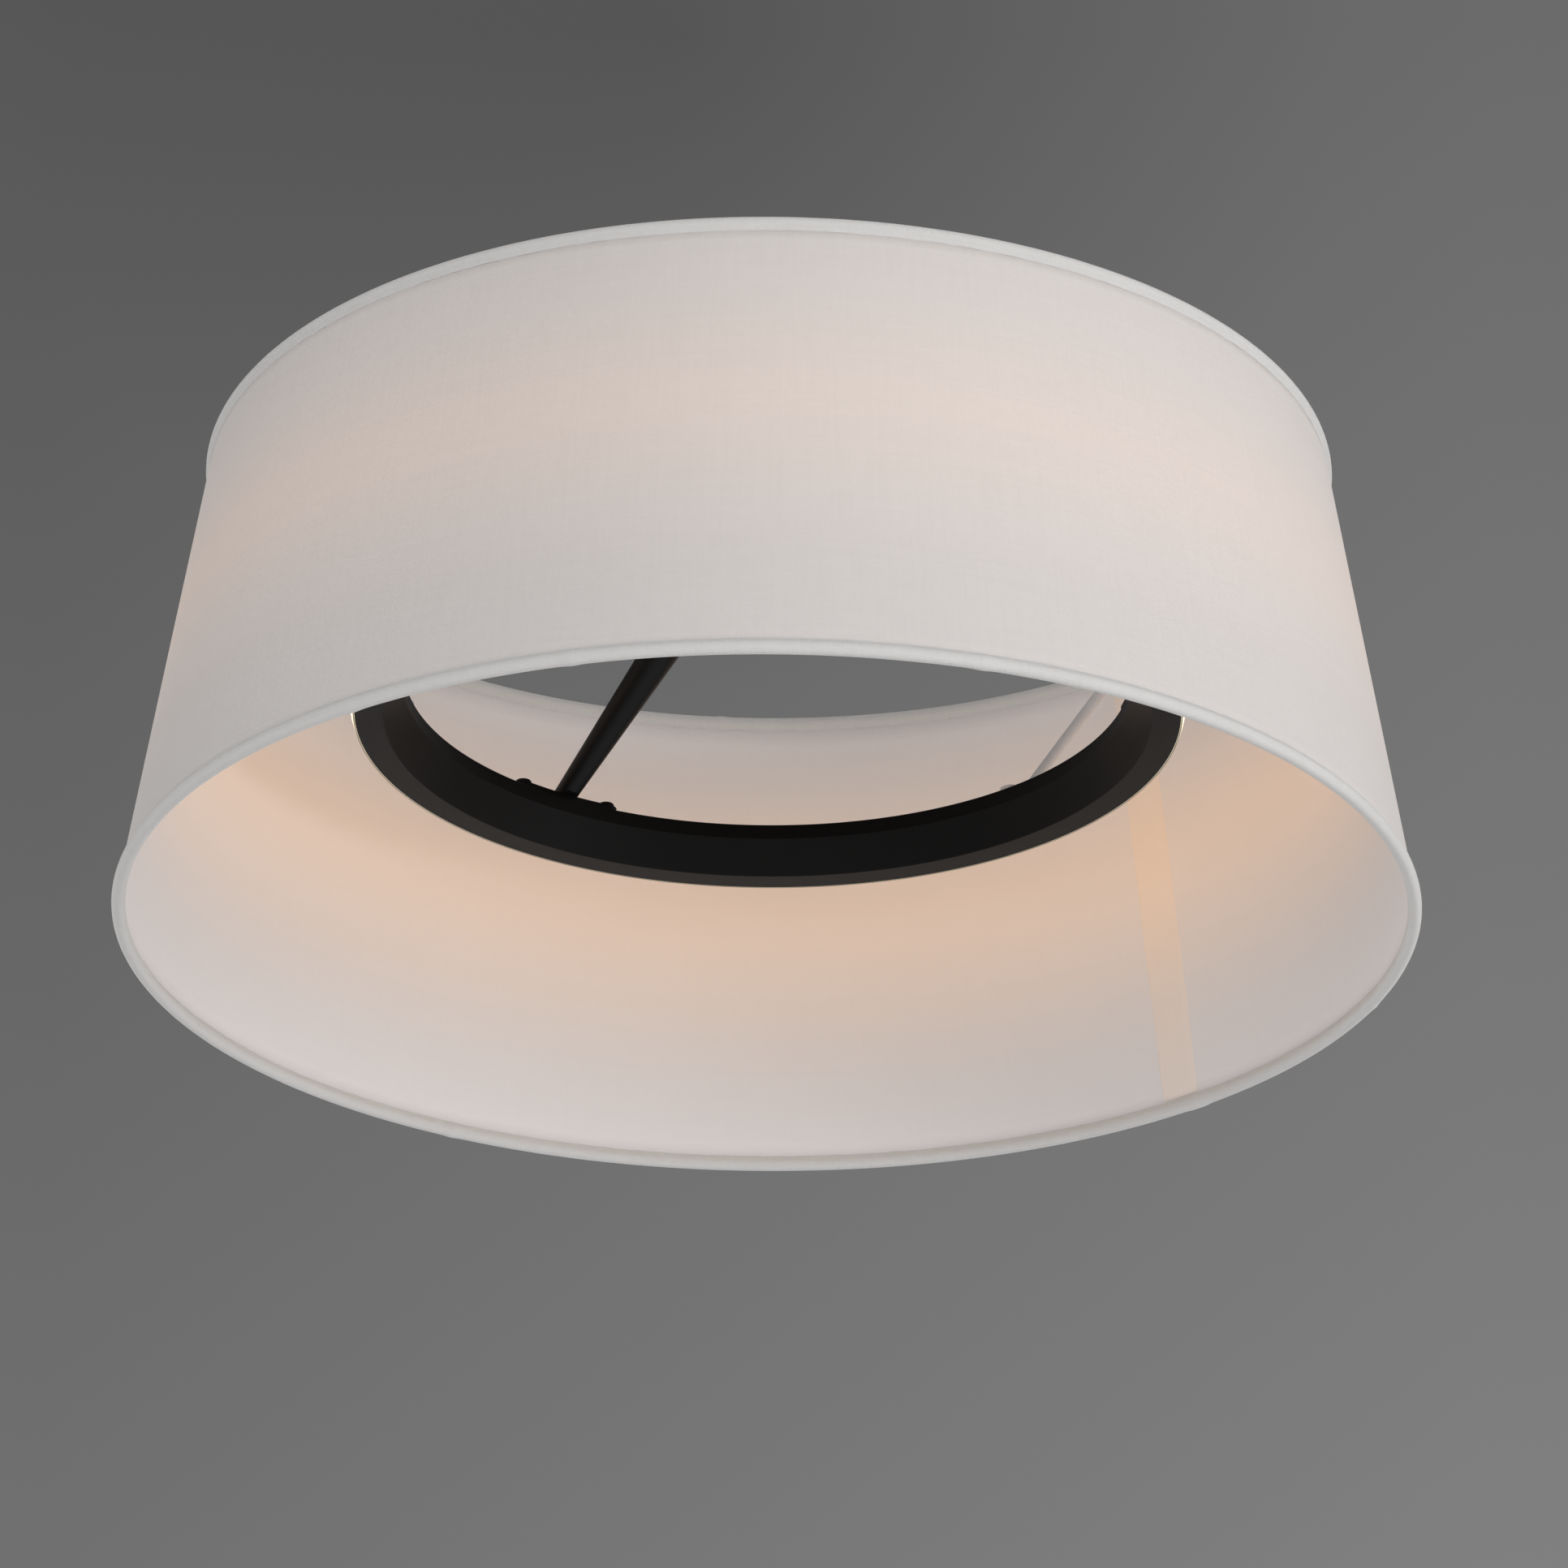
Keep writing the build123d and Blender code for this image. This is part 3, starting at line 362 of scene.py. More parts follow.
def shade_finish(name, base, near, far, height, reach, threads, weave_depth, tint):
    """A pale woven or pressed sheet with the lamp's warm band painted into it as glow colour: near
    is the painted glow at the band and far the painted glow away from it. threads is their number to
    the metre, weave_depth is in metres, and tint is how much darker the thin yarn is than the slubs."""
    material, tree, shader = finish_named(name, Roughness=0.92, Sheen_Weight=0.12)
    shader.inputs["Specular IOR Level"].default_value = 0.2
    shader.inputs["Emission Strength"].default_value = 1.0
    cloth_map = node(tree, "ShaderNodeUVMap", uv_map="cloth").outputs[0]
    weave = placed(tree, cloth_weave, {"Vector": cloth_map, "Threads per metre": threads})
    darker = tuple(channel * (1.0 - tint) for channel in base)
    colour = mixed(
        tree,
        spread(tree, weave.outputs["Slubs"], 0.35, 0.65, 0.0, 1.0),
        (*darker, 1.0),
        (*base, 1.0),
    )
    tree.links.new(colour, shader.inputs["Base Color"])
    glow = placed(
        tree,
        lamp_glow,
        {
            "Height of lamp": height,
            "Reach": reach,
            "Near": (*near, 1.0),
            "Far": (*far, 1.0),
            "Sharpness": soft_band,
        },
    )
    # Painted light: the glow colour times the cloth's own colour, fed to the emission.
    lit = mixed(tree, 1.0, glow.outputs["Colour"], colour, "MULTIPLY")
    tree.links.new(lit, shader.inputs["Emission Color"])
    bumped(tree, shader, weave.outputs["Height"], weave_depth)
    return material


unlit = (0.0, 0.0, 0.0)
cloth_threads = 1150.0
cloth_finish = shade_finish(
    "linen look cloth",
    base=(0.775, 0.745, 0.73),
    near=(0.125, 0.055, 0.018),
    far=unlit,
    threads=cloth_threads,
    weave_depth=0.08 * millimetre,
    tint=0.028,
    **outside_band,
)
backing_finish = shade_finish(
    "matt backing sheet",
    base=(0.835, 0.81, 0.80),
    near=(0.275, 0.128, 0.043),
    # A faint painted glow all over the backing sheet, away from the lamp's band: painted light.
    far=(0.066, 0.064, 0.072),
    threads=2600.0,
    weave_depth=0.03 * millimetre,
    tint=0.012,
    **inside_band,
)
tape_finish = shade_finish(
    "seam tape",
    base=(0.83, 0.79, 0.765),
    near=(0.35, 0.155, 0.030),
    # A faint painted glow all over the tape, away from the lamp's band: painted light.
    far=(0.135, 0.090, 0.060),
    threads=2000.0,
    weave_depth=0.05 * millimetre,
    tint=0.02,
    **inside_band,
)
hem_finish = shade_finish(
    "hem cloth",
    base=(0.745, 0.742, 0.735),
    near=unlit,
    far=unlit,
    threads=cloth_threads,
    weave_depth=0.12 * millimetre,
    tint=0.03,
    **outside_band,
)
print("cloth finishes", [m.name for m in (cloth_finish, backing_finish, tape_finish, hem_finish)])

# %% [markdown]
# ### Black powder coat
#
# The ring, arms, shoes and canopy share one matt black coat. It is a little brown in strong light
# and greys where dust lies on it.

# %% Powder coat finishes
dust_colour = (0.35, 0.33, 0.31, 1.0)
dust_dulls = 0.4


def coat_finish(name, dark, light, rough_low, rough_high, grain, depth, dust):
    """A coat whose colour and gloss speckle finely between two ends, with dust on what faces up.
    grain is the number of grains to the metre, depth is in metres, and dust is the most that it
    hides."""
    material, tree, shader = finish_named(name)
    coat = placed(tree, powder_coat, {"Grain per metre": grain})
    speckle = coat.outputs["Speckle"]
    colour = mixed(tree, speckle, (*dark, 1.0), (*light, 1.0))
    dusty = placed(tree, settled_dust, {"Amount": dust}).outputs["Mask"]
    tree.links.new(mixed(tree, dusty, colour, dust_colour), shader.inputs["Base Color"])
    rough = spread(tree, speckle, 0.0, 1.0, rough_low, rough_high)
    rough = maths(tree, "ADD", rough, maths(tree, "MULTIPLY", dusty, dust_dulls))
    tree.links.new(rough, shader.inputs["Roughness"])
    bumped(tree, shader, coat.outputs["Height"], depth)
    return material


black_finish = coat_finish(
    "black powder coat",
    dark=(0.0024, 0.0026, 0.0027),
    light=(0.0046, 0.0046, 0.0047),
    rough_low=0.40,
    rough_high=0.52,
    grain=2200.0,
    depth=0.04 * millimetre,
    dust=0.10,
)
black_shader = black_finish.node_tree.nodes["Principled BSDF"]
black_shader.inputs["Specular IOR Level"].default_value = 0.18
white_finish = coat_finish(
    "white satin paint",
    dark=(0.80, 0.79, 0.80),
    light=(0.85, 0.84, 0.85),
    rough_low=0.32,
    rough_high=0.42,
    grain=1200.0,
    depth=0.02 * millimetre,
    dust=0.10,
)
print("coats", black_finish.name, white_finish.name)

# %% [markdown]
# ### Opal band
#
# The acrylic band glows evenly over the lamps behind it. At its two edges, over the black flanges,
# the light has gone through more of it, so they are dim and orange.

# %% Opal finish
opal_finish, tree, shader = finish_named("lit opal acrylic", Roughness=0.35)
glow = placed(
    tree,
    lamp_glow,
    {
        "Height of lamp": ring_middle_z,
        "Reach": 11.75 * millimetre,
        "Near": (0.93, 0.81, 0.58, 1.0),
        "Far": (0.006, 0.003, 0.0, 1.0),
        "Sharpness": 60.0,
    },
)
amber, opal = (0.075, 0.045, 0.014, 1.0), (0.93, 0.88, 0.78, 1.0)
# The base colour is dimmed to amber at the band's edges as well: painted shade over the flanges.
tree.links.new(mixed(tree, glow.outputs["Band"], amber, opal), shader.inputs["Base Color"])
tree.links.new(glow.outputs["Colour"], shader.inputs["Emission Color"])
shader.inputs["Emission Strength"].default_value = 1.0
print("lit band", opal_finish.name)

# %% [markdown]
# ### Metals, plastics and wiring
#
# What only shows when the light is looked at from above or from the side: plated straps, nuts and
# screws, the driver's case, the terminal block and the leads.

# %% Small finishes
drawn_lines_per_metre, drawn_stretch = 220.0, 14.0
fine = 0.01 * millimetre


def plated(name, colour, rough, spangle):
    """Zinc or aluminium: metal whose gloss drifts in soft patches, with fine drawn lines. spangle
    is the number of patches to the metre."""
    material, tree, shader = finish_named(name, Metallic=1.0)
    place = node(tree, "ShaderNodeTexCoord").outputs["Object"]
    patches = noise(tree, place, spangle, 3.0)
    drawn = stretched(tree, place, (1.0, drawn_stretch, drawn_stretch))
    lines = noise(tree, drawn, drawn_lines_per_metre, 2.0)
    deep = tuple(channel * 0.82 for channel in colour)
    tree.links.new(mixed(tree, patches, (*deep, 1.0), (*colour, 1.0)), shader.inputs["Base Color"])
    gloss = spread(tree, patches, 0.3, 0.7, rough * 0.75, rough * 1.25)
    tree.links.new(gloss, shader.inputs["Roughness"])
    bumped(tree, shader, lines, fine)
    return material


def moulded(name, colour, rough, grain=900.0, depth=0.03 * millimetre, dust=0.08):
    """Moulded plastic, rubber or insulation: even colour, fine grain and a little dust."""
    deep = tuple(channel * 0.93 for channel in colour)
    return coat_finish(name, deep, colour, rough * 0.9, min(1.0, rough * 1.1), grain, depth, dust)


zinc_finish = plated("bright zinc plate", (0.66, 0.66, 0.64), 0.32, 260.0)
aluminium_finish = plated("mill aluminium", (0.72, 0.72, 0.73), 0.38, 120.0)
driver_finish = moulded("textured white plastic", (0.74, 0.74, 0.72), 0.6)
nylon_finish = moulded("nylon block", (0.66, 0.67, 0.66), 0.35, grain=400.0, depth=fine)
lead_finish = moulded("black insulation", (0.016, 0.016, 0.017), 0.5, grain=1500.0, depth=fine)
earth_finish = moulded("green insulation", (0.05, 0.26, 0.07), 0.5, grain=1500.0, depth=fine)
green_finish = moulded("green lacquered steel", (0.03, 0.16, 0.06), 0.3, depth=fine)
rubber_finish = moulded("soft black rubber", (0.012, 0.012, 0.012), 0.75, grain=1400.0)
board_finish = moulded("white circuit strip", (0.82, 0.82, 0.79), 0.35, depth=fine, dust=0.0)
chip_finish = moulded("phosphor resin", (0.80, 0.58, 0.14), 0.25, depth=fine, dust=0.0)

# %% [markdown]
# ### Dressing the pieces that stay
#
# The record names a slot for each piece, and every piece of one slot is of one make. So the finish
# goes on by slot, and no piece can be forgotten.

# %% Finish for each slot
finishes = {
    "white_wire": white_finish,
    "black_metal": black_finish,
    "bare_aluminium": aluminium_finish,
    "circuit_white": board_finish,
    "led_phosphor": chip_finish,
    "zinc_steel": zinc_finish,
    "earth_green": green_finish,
    "driver_case": driver_finish,
    "block_plastic": nylon_finish,
    "lead_black": lead_finish,
    "lead_green": earth_finish,
    "rubber": rubber_finish,
}
dressed = 0
for subpart in frame["record"]["subparts"]:
    material = finishes.get(subpart["material_slot"])
    if material:
        for slot in frame["nodes"][subpart["node"]].material_slots:
            slot.material = material
            dressed += 1
print("construction nodes with a finish", dressed)

# %% [markdown]
# ## Helpers for surfaces
#
# Every new piece is a grid of points: rows along a profile, columns round the light. The points
# are worked out as whole arrays, and one function turns any grid into a mesh with a flat map of
# its cloth. A profile that runs anticlockwise, as seen with the radius to the right and the height
# upwards, gives faces that look outwards. Bent and moulded edges are never sharp, so a profile's
# corners are rounded.

# %% Rounded outlines
flat_margin = 0.05 * millimetre


def rounded(corners, radii, steps=5):
    """A closed outline with its corners rounded. At each corner an arc of the given radius touches
    both sides: its ends lie radius / tan(half the corner's angle) from the corner, with a point a
    small margin before and after it so that the flats stay flat."""
    corners = np.asarray(corners, float)
    befores, afters = np.roll(corners, 1, axis=0), np.roll(corners, -1, axis=0)
    outline = []
    for corner, before, after, radius in zip(corners, befores, afters, radii):
        back = (before - corner) / np.linalg.norm(before - corner)
        on = (after - corner) / np.linalg.norm(after - corner)
        half = math.acos(np.clip(back @ on, -1, 1)) / 2
        reach = radius / math.tan(half)
        centre = corner + (back + on) / np.linalg.norm(back + on) * radius / math.sin(half)
        first, last = corner + back * reach - centre, corner + on * reach - centre
        share = np.linspace(0, 1, steps)[:, None]
        swing = math.acos(np.clip(first @ last / radius**2, -1, 1))
        arc = (np.sin((1 - share) * swing) * first + np.sin(share * swing) * last) / math.sin(swing)
        support = reach + flat_margin
        outline += [corner + back * support, *(centre + arc), corner + on * support]
    return np.array(outline)


def turned(outline, columns):
    """The outline (radius, height) carried round the upright axis: each point becomes
    (radius cos a, radius sin a, height) at the angles a of the columns."""
    angle = np.linspace(0, 2 * np.pi, columns, endpoint=False)
    radius, height = outline[:, 0, None], outline[:, 1, None]
    return np.stack(
        (radius * np.cos(angle), radius * np.sin(angle), height + 0 * angle), axis=-1
    )


# %% [markdown]
# One function makes every mesh. It takes the points as an array and works out all faces at once.
# It also lays a flat map over the cloth in metres, so that the weave has its true size everywhere.


# %% From a grid to a mesh
def grid_piece(name, grid, material, cloth=None, strip=False):
    """A mesh from rows by columns of points. Each face joins (row, column), (row, column + 1),
    (row + 1, column + 1) and (row + 1, column). The rows are a closed section. The columns close
    too, unless the piece is a strip: then cross faces between the two halves of its section close
    each end. cloth is (lengths along the rows, lengths along the columns) for a map in metres."""
    rows, columns = grid.shape[:2]
    row = np.arange(rows)[:, None]
    column = np.arange(columns - strip)[None, :]
    steps = [(row, column), (row, column + 1), (row + 1, column + 1), (row + 1, column)]
    faces = np.stack([r % rows * columns + c % columns for r, c in steps], axis=-1).reshape(-1, 4)
    rung = np.arange(rows // 2 - 1)
    rungs = np.stack((rung, rung + 1, rows - 2 - rung, rows - 1 - rung), axis=-1) * columns
    ends = np.concatenate((rungs, rungs[:, ::-1] + columns - 1)) if strip else rungs[:0]
    mesh = bpy.data.meshes.new(name)
    mesh.from_pydata(grid.reshape(-1, 3), [], np.concatenate((faces, ends)).tolist())
    smooth = np.arange(len(faces) + len(ends)) < len(faces)
    mesh.polygons.foreach_set("use_smooth", smooth)
    if cloth is not None:
        along, around = cloth
        flat = [np.stack(np.broadcast_arrays(around[c], along[r]), axis=-1) for r, c in steps]
        flat = np.stack(flat, axis=-2).reshape(-1, 2)
        flat_ends = np.stack((around[ends % columns], along[ends // columns]), axis=-1)
        flat = np.concatenate((flat, flat_ends.reshape(-1, 2))).astype(np.float32)
        mesh.uv_layers.new(name="cloth").data.foreach_set("uv", flat.ravel())
    mesh.materials.append(material)
    mesh.validate()
    piece = bpy.data.objects.new(name, mesh)
    bpy.context.scene.collection.objects.link(piece)
    print(name, "faces", len(mesh.polygons))
    return piece


# %% [markdown]
# Every new piece takes the place of one construction piece, so that the scene and the assembly
# stay alike, piece for piece.


# %% Lengths, and standing in
def lengths(outline):
    """Distance run along a closed outline at each of its points, and back at its start."""
    steps = np.linalg.norm(np.roll(outline, -1, axis=0) - outline, axis=1)
    return np.concatenate(([0.0], np.cumsum(steps)))


def stands_for(piece, node_name):
    """The piece rides on the light and stands for one construction node."""
    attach(piece, body)
    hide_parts(node_name)


# %% [markdown]
# ## The wall of the shade
#
# Cloth pulled over a stiff sheet isn't quite even: it has long soft swells where the glue holds
# more or less, and short puckers that fade away from each hem. Both are sums of sine waves with
# whole numbers of waves round the shade, so that they meet where they began.

# %% Wall points and unevenness
pucker_fade = 14 * millimetre
end_gap = 0.1 * millimetre


def on_wall(up, out):
    """(radius, height) of points so far up the wall from the bottom wire and out of its middle."""
    up, out = np.asarray(up, float), np.asarray(out, float)
    radius = bottom_radius + up * up_wall[0] + out * out_of_wall[0]
    return radius, bottom_z + up * up_wall[1] + out * out_of_wall[1]


def ripples(angle, counts, seed):
    """Sum of sine waves round the shade, with whole counts and seeded phases, from about -1 to 1."""
    chance = np.random.default_rng(seed)
    total = 0
    for count in counts:
        phase = chance.uniform(0, 2 * np.pi)
        total = total + np.sin(count * angle + phase) * chance.uniform(0.5, 1.0)
    return total / len(counts)


def wall_piece(name, inner, outer, rows, columns, material, swell, seed):
    """A thin closed skin of the wall between two distances out of its middle. Its outer face
    carries swells and puckers: swell * (ripples + puckers * exp(-distance from hem / fade))."""
    start, end = wire_radius + end_gap, slant - wire_radius - end_gap
    up_side = np.linspace(start, end, rows)
    up = np.concatenate((up_side, up_side[::-1]))
    out = np.concatenate((np.full(rows, outer), np.full(rows, inner)))
    shows = np.concatenate((np.ones(rows), np.zeros(rows)))
    angle = np.linspace(0, 2 * np.pi, columns, endpoint=False)
    from_hem = np.minimum(up - start, end - up)[:, None]
    climb = ((up - start) / (end - start))[:, None]
    soft = ripples(angle + climb * 0.4, (5, 8, 13, 21), seed)
    pucker = ripples(angle, (61, 83, 97, 118), seed + 1) * np.exp(-from_hem / pucker_fade)
    radius, height = on_wall(up[:, None], out[:, None] + swell * shows[:, None] * (soft + pucker))
    grid = np.stack((radius * np.cos(angle), radius * np.sin(angle), height), axis=-1)
    around = np.linspace(0, 2 * np.pi * (bottom_radius + top_radius) / 2, columns + 1)
    along = np.concatenate((up, [up[0]]))
    return grid_piece(name, grid, material, cloth=(along, around))


# %% [markdown]
# The cloth is glued to the backing sheet all over, so the two share one face. The sheet is stiff
# and smooth: only the cloth swells.

# %% Cloth and backing sheet
shade_cloth = wall_piece(
    "shade_cloth",
    cloth_face,
    cloth_skin,
    rows=36,
    columns=900,
    material=cloth_finish,
    swell=0.10 * millimetre,
    seed=3,
)
stands_for(shade_cloth, "shade_fabric")
backing = wall_piece(
    "shade_backing",
    backing_face,
    cloth_face,
    rows=24,
    columns=720,
    material=backing_finish,
    swell=0.0,
    seed=5,
)
stands_for(backing, "shade_liner")

# %% [markdown]
# ## The rolled hems
#
# Each hem is one strip of the same cloth, rolled round the rim wire and glued down with a leg on
# each face of the wall. The legs' edges wander a little, as hand-folded edges do, and where the
# strip's ends lap, by the seam, the roll is thicker and ends in a small step.

# %% Hems
pressed = 0.08 * millimetre
turn_off = math.radians(45)
leg_wander = 0.35 * millimetre
roll_swell, lap_swell, knot_swell = 0.010, 0.12, 0.10
lap_shift, lap_half_width, knot_half_width = 0.03, 0.022, 0.012


def bumps_at(angle, places, width):
    """Sum of small smooth bumps round the rim, each exp(-(distance from a place / width) ^ 2)."""
    apart = (angle[:, None] - np.radians(places)[None, :] + np.pi) % (2 * np.pi) - np.pi
    return np.exp(-((apart / width) ** 2)).sum(axis=1)


def hem_piece(name, wire_at, direction, seed, knots):
    """Closed section of a rolled strip, carried round the rim. Rows are the section's points (up,
    out) round the wire: a circle of roll_radius outside, a circle of wire_radius inside, and two
    legs that thin from the roll to a pressed edge. Sine waves move a leg's end by up to
    leg_wander. The roll's radius is multiplied by 1 + small waves + the lap's swell + the knots'
    swell at the given azimuths in degrees. direction is 1 where the legs point up the wall and -1
    where they point down."""
    core_angle = math.asin(cloth_skin / wire_radius)
    roll = np.linspace(turn_off, 2 * math.pi - turn_off, 26)
    core = np.linspace(2 * math.pi - core_angle, core_angle, 14)
    leave = roll_radius * math.cos(turn_off)
    share = np.linspace(0, 1, 9)[1:]

    def leg(end):
        """A smooth curve from the roll to a leg's end: (1-t)^2 roll + 2t(1-t) bend + t^2 end."""
        bend = np.array([2 * leave - cloth_skin - pressed, cloth_skin + pressed])
        first, last = np.array([leave, leave]), np.array([end, cloth_skin + pressed])
        t = share[:, None]
        return (1 - t) ** 2 * first + 2 * t * (1 - t) * bend + t**2 * last

    outer_leg, inner_leg = leg(hem_outer_leg), leg(hem_inner_leg)
    up = np.concatenate(
        (
            [hem_outer_leg],
            outer_leg[::-1, 0],
            roll_radius * np.cos(roll),
            inner_leg[:, 0],
            [hem_inner_leg],
            wire_radius * np.cos(core),
        )
    )
    out = np.concatenate(
        (
            [cloth_skin],
            outer_leg[::-1, 1],
            roll_radius * np.sin(roll),
            -inner_leg[:, 1],
            [backing_face],
            wire_radius * np.sin(core),
        )
    )
    # The section above runs against the sense that faces outwards where the legs point up the wall.
    if direction > 0:
        up, out = up[::-1], out[::-1]
    columns = 1440
    angle = np.linspace(0, 2 * np.pi, columns, endpoint=False)
    on_leg = np.clip((up - leave) / (hem_outer_leg - leave), 0, 1)[:, None]
    on_roll = (np.hypot(up, out) > 1.02 * wire_radius)[:, None]
    wander = leg_wander * ripples(angle, (17, 29, 47, 90, 131, 190), seed)
    lap = np.exp(-(((angle - seam_azimuth + lap_shift) / lap_half_width) ** 4))
    swell = roll_swell * ripples(angle, (23, 41, 64, 150), seed + 1) + lap_swell * lap
    swell = swell + knot_swell * bumps_at(angle, knots, knot_half_width)
    soft = 1 + swell * on_roll * (1 - on_leg)
    wide = up[:, None] * soft + on_leg * wander
    radius, height = on_wall(wire_at + direction * wide, out[:, None] * soft)
    grid = np.stack((radius * np.cos(angle), radius * np.sin(angle), height), axis=-1)
    rim = bottom_radius if direction > 0 else top_radius
    around = np.linspace(0, 2 * np.pi * rim, columns + 1)
    along = lengths(np.stack((up, out), axis=-1))
    return grid_piece(name, grid, hem_finish, cloth=(along, around))


bottom_knots = (232.8, 253.6, 288.0, 121.0, 17.0)
bottom_roll = hem_piece("bottom_hem_roll", 0.0, direction=1, seed=11, knots=bottom_knots)
stands_for(bottom_roll, "bottom_hem")
top_roll = hem_piece("top_hem_roll", slant, direction=-1, seed=17, knots=(95.0,))
stands_for(top_roll, "top_hem")

# %% [markdown]
# ## The seam tape
#
# The backing sheet's two ends meet under one upright tape, glued to the inner face. It is cut by
# hand, so its edges aren't perfectly straight. Its painted glow is warmer than the sheet's, where it
# catches more of the lamp's warmth.

# %% Seam tape
tape_rows, tape_columns = 60, 24
tape_gap = hem_inner_leg + 0.4 * millimetre
tape_edge, glue_gap, tape_wander = 0.03 * millimetre, 0.02 * millimetre, 0.15 * millimetre
tape_up = np.linspace(tape_gap, slant - tape_gap, tape_rows)
tape_share = np.sin(np.linspace(-0.5, 0.5, tape_columns) * np.pi)
tape_across = tape_share * seam_width / 2
tape_thick = seam_thickness * (1 - np.abs(tape_share) ** 9) + tape_edge
edge_wander = tape_wander * np.sin(tape_up * 90)[:, None]


def tape_face(thickness):
    """The tape's points at a thickness in from the backing sheet: its width is bent to the shade's
    radius, so each point's angle is the seam's azimuth plus distance across divided by radius."""
    radius, height = on_wall(tape_up[:, None], backing_face - thickness[None, :])
    angle = seam_azimuth + (tape_across[None, :] + edge_wander) / radius
    return np.stack((radius * np.cos(angle), radius * np.sin(angle), height + 0 * angle), axis=-1)


front = tape_face(tape_thick)
back = tape_face(np.full(tape_columns, glue_gap))
# Going round the tape's section: across the inner face one way and the glued face the other way.
tape_grid = np.concatenate((front[:, ::-1], back), axis=1).transpose(1, 0, 2)[::-1]
tape_along = np.concatenate((tape_across[::-1], tape_across, [tape_across[-1]]))[::-1]
seam_tape = grid_piece(
    "seam_tape", tape_grid, tape_finish, cloth=(tape_along, tape_up), strip=True
)
stands_for(seam_tape, "shade_seam")

# %% [markdown]
# ## The ring
#
# The ring is a folded channel, open outwards. Its face has a flat and then a slope up to the bore.
# The section is one closed outline with small rounded edges, which catch a thin line of light.

# %% Ring channel
inner_edge = 0.3 * millimetre
ring_columns = 720
bore_radius = ring_radius - ring_width
face_inner = ring_radius - ring_face_width
slope_top_z = ring_bottom_z + ring_slope_height
slope = np.array([bore_radius - face_inner, ring_slope_height])
slope = slope / np.linalg.norm(slope)
inside = np.array([face_inner, ring_bottom_z]) + ring_wall * np.array([slope[1], -slope[0]])
flange_z = ring_bottom_z + ring_wall
flange_inner = inside[0] + (flange_z - inside[1]) * slope[0] / slope[1]
wall_inner = bore_radius + ring_wall
wall_inner_z = inside[1] + (wall_inner - inside[0]) * slope[1] / slope[0]
channel = rounded(
    [
        (face_inner, ring_bottom_z),
        (ring_radius, ring_bottom_z),
        (ring_radius, flange_z),
        (flange_inner, flange_z),
        (wall_inner, wall_inner_z),
        (wall_inner, ring_top_z - ring_wall),
        (ring_radius, ring_top_z - ring_wall),
        (ring_radius, ring_top_z),
        (bore_radius, ring_top_z),
        (bore_radius, slope_top_z),
    ],
    [ring_edge] * 2 + [inner_edge] * 5 + [ring_edge] * 3,
)
ring = grid_piece("ring_channel", turned(channel, ring_columns), black_finish)
stands_for(ring, "ring_housing")

# %% [markdown]
# ## The opal band
#
# The band lies over the channel's mouth and on the flanges' edges, and two thin legs snap in
# between the flanges. Its outer face swells a little, so its lower half looks down as well as out,
# and shows from below as a lit line along the black ring's side.

# %% Opal band
lens_thickness, lens_edge, lens_swell = 1.4 * millimetre, 0.55 * millimetre, 2.3 * millimetre
lens_leg_thickness, lens_leg_depth = 1.2 * millimetre, 4.0 * millimetre
lens_corner, lens_fit = 0.05 * millimetre, 0.05 * millimetre
lens_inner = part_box("ring_diffuser")[1][0] - lens_thickness
lens_half = (ring_top_z - ring_bottom_z) / 2
leg_top = ring_wall + lens_fit
leg_foot = leg_top + lens_leg_thickness


def opal_outline():
    """The band's closed section. The outer face is an arc: inner radius + edge thickness + swell
    times (1 - (height / half height)^2). The back is flat, with a leg near each edge."""
    rise = np.linspace(-1, 1, 25)
    face_radius = lens_inner + lens_edge + lens_swell * (1 - rise**2)
    face = np.stack((face_radius, ring_middle_z + lens_half * rise), axis=-1)
    leg_end = lens_inner - lens_leg_depth
    steps = [
        (lens_inner, ring_top_z),
        (lens_inner, ring_top_z - leg_top),
        (leg_end, ring_top_z - leg_top),
        (leg_end, ring_top_z - leg_foot),
        (lens_inner, ring_top_z - leg_foot),
        (lens_inner, ring_bottom_z + leg_foot),
        (leg_end, ring_bottom_z + leg_foot),
        (leg_end, ring_bottom_z + leg_top),
        (lens_inner, ring_bottom_z + leg_top),
        (lens_inner, ring_bottom_z),
    ]
    back_corners = [face[-1], *steps, face[0]]
    back = rounded(back_corners, [lens_corner] * len(back_corners), 3)
    return np.concatenate((face[1:-1], back))


opal_band = grid_piece("opal_band", turned(opal_outline(), ring_columns), opal_finish)
stands_for(opal_band, "ring_diffuser")

# %% [markdown]
# ## The cloth cut flat
#
# A drum's cloth is cut flat as a wide arc: the cone's side unrolled. The arc's radii are the
# distances from the cone's tip, and its angle is the whole turn times the slope, radius over
# distance.

# %% [markdown]
# ## Backdrop, floor and light
#
# What the camera sees behind the light is a grey that darkens towards the top left, set by the
# direction of view alone, and it lights nothing. What lights the parts is a pale studio all round,
# brightest from below and from the sides, because the real light hangs under a shaded ceiling.

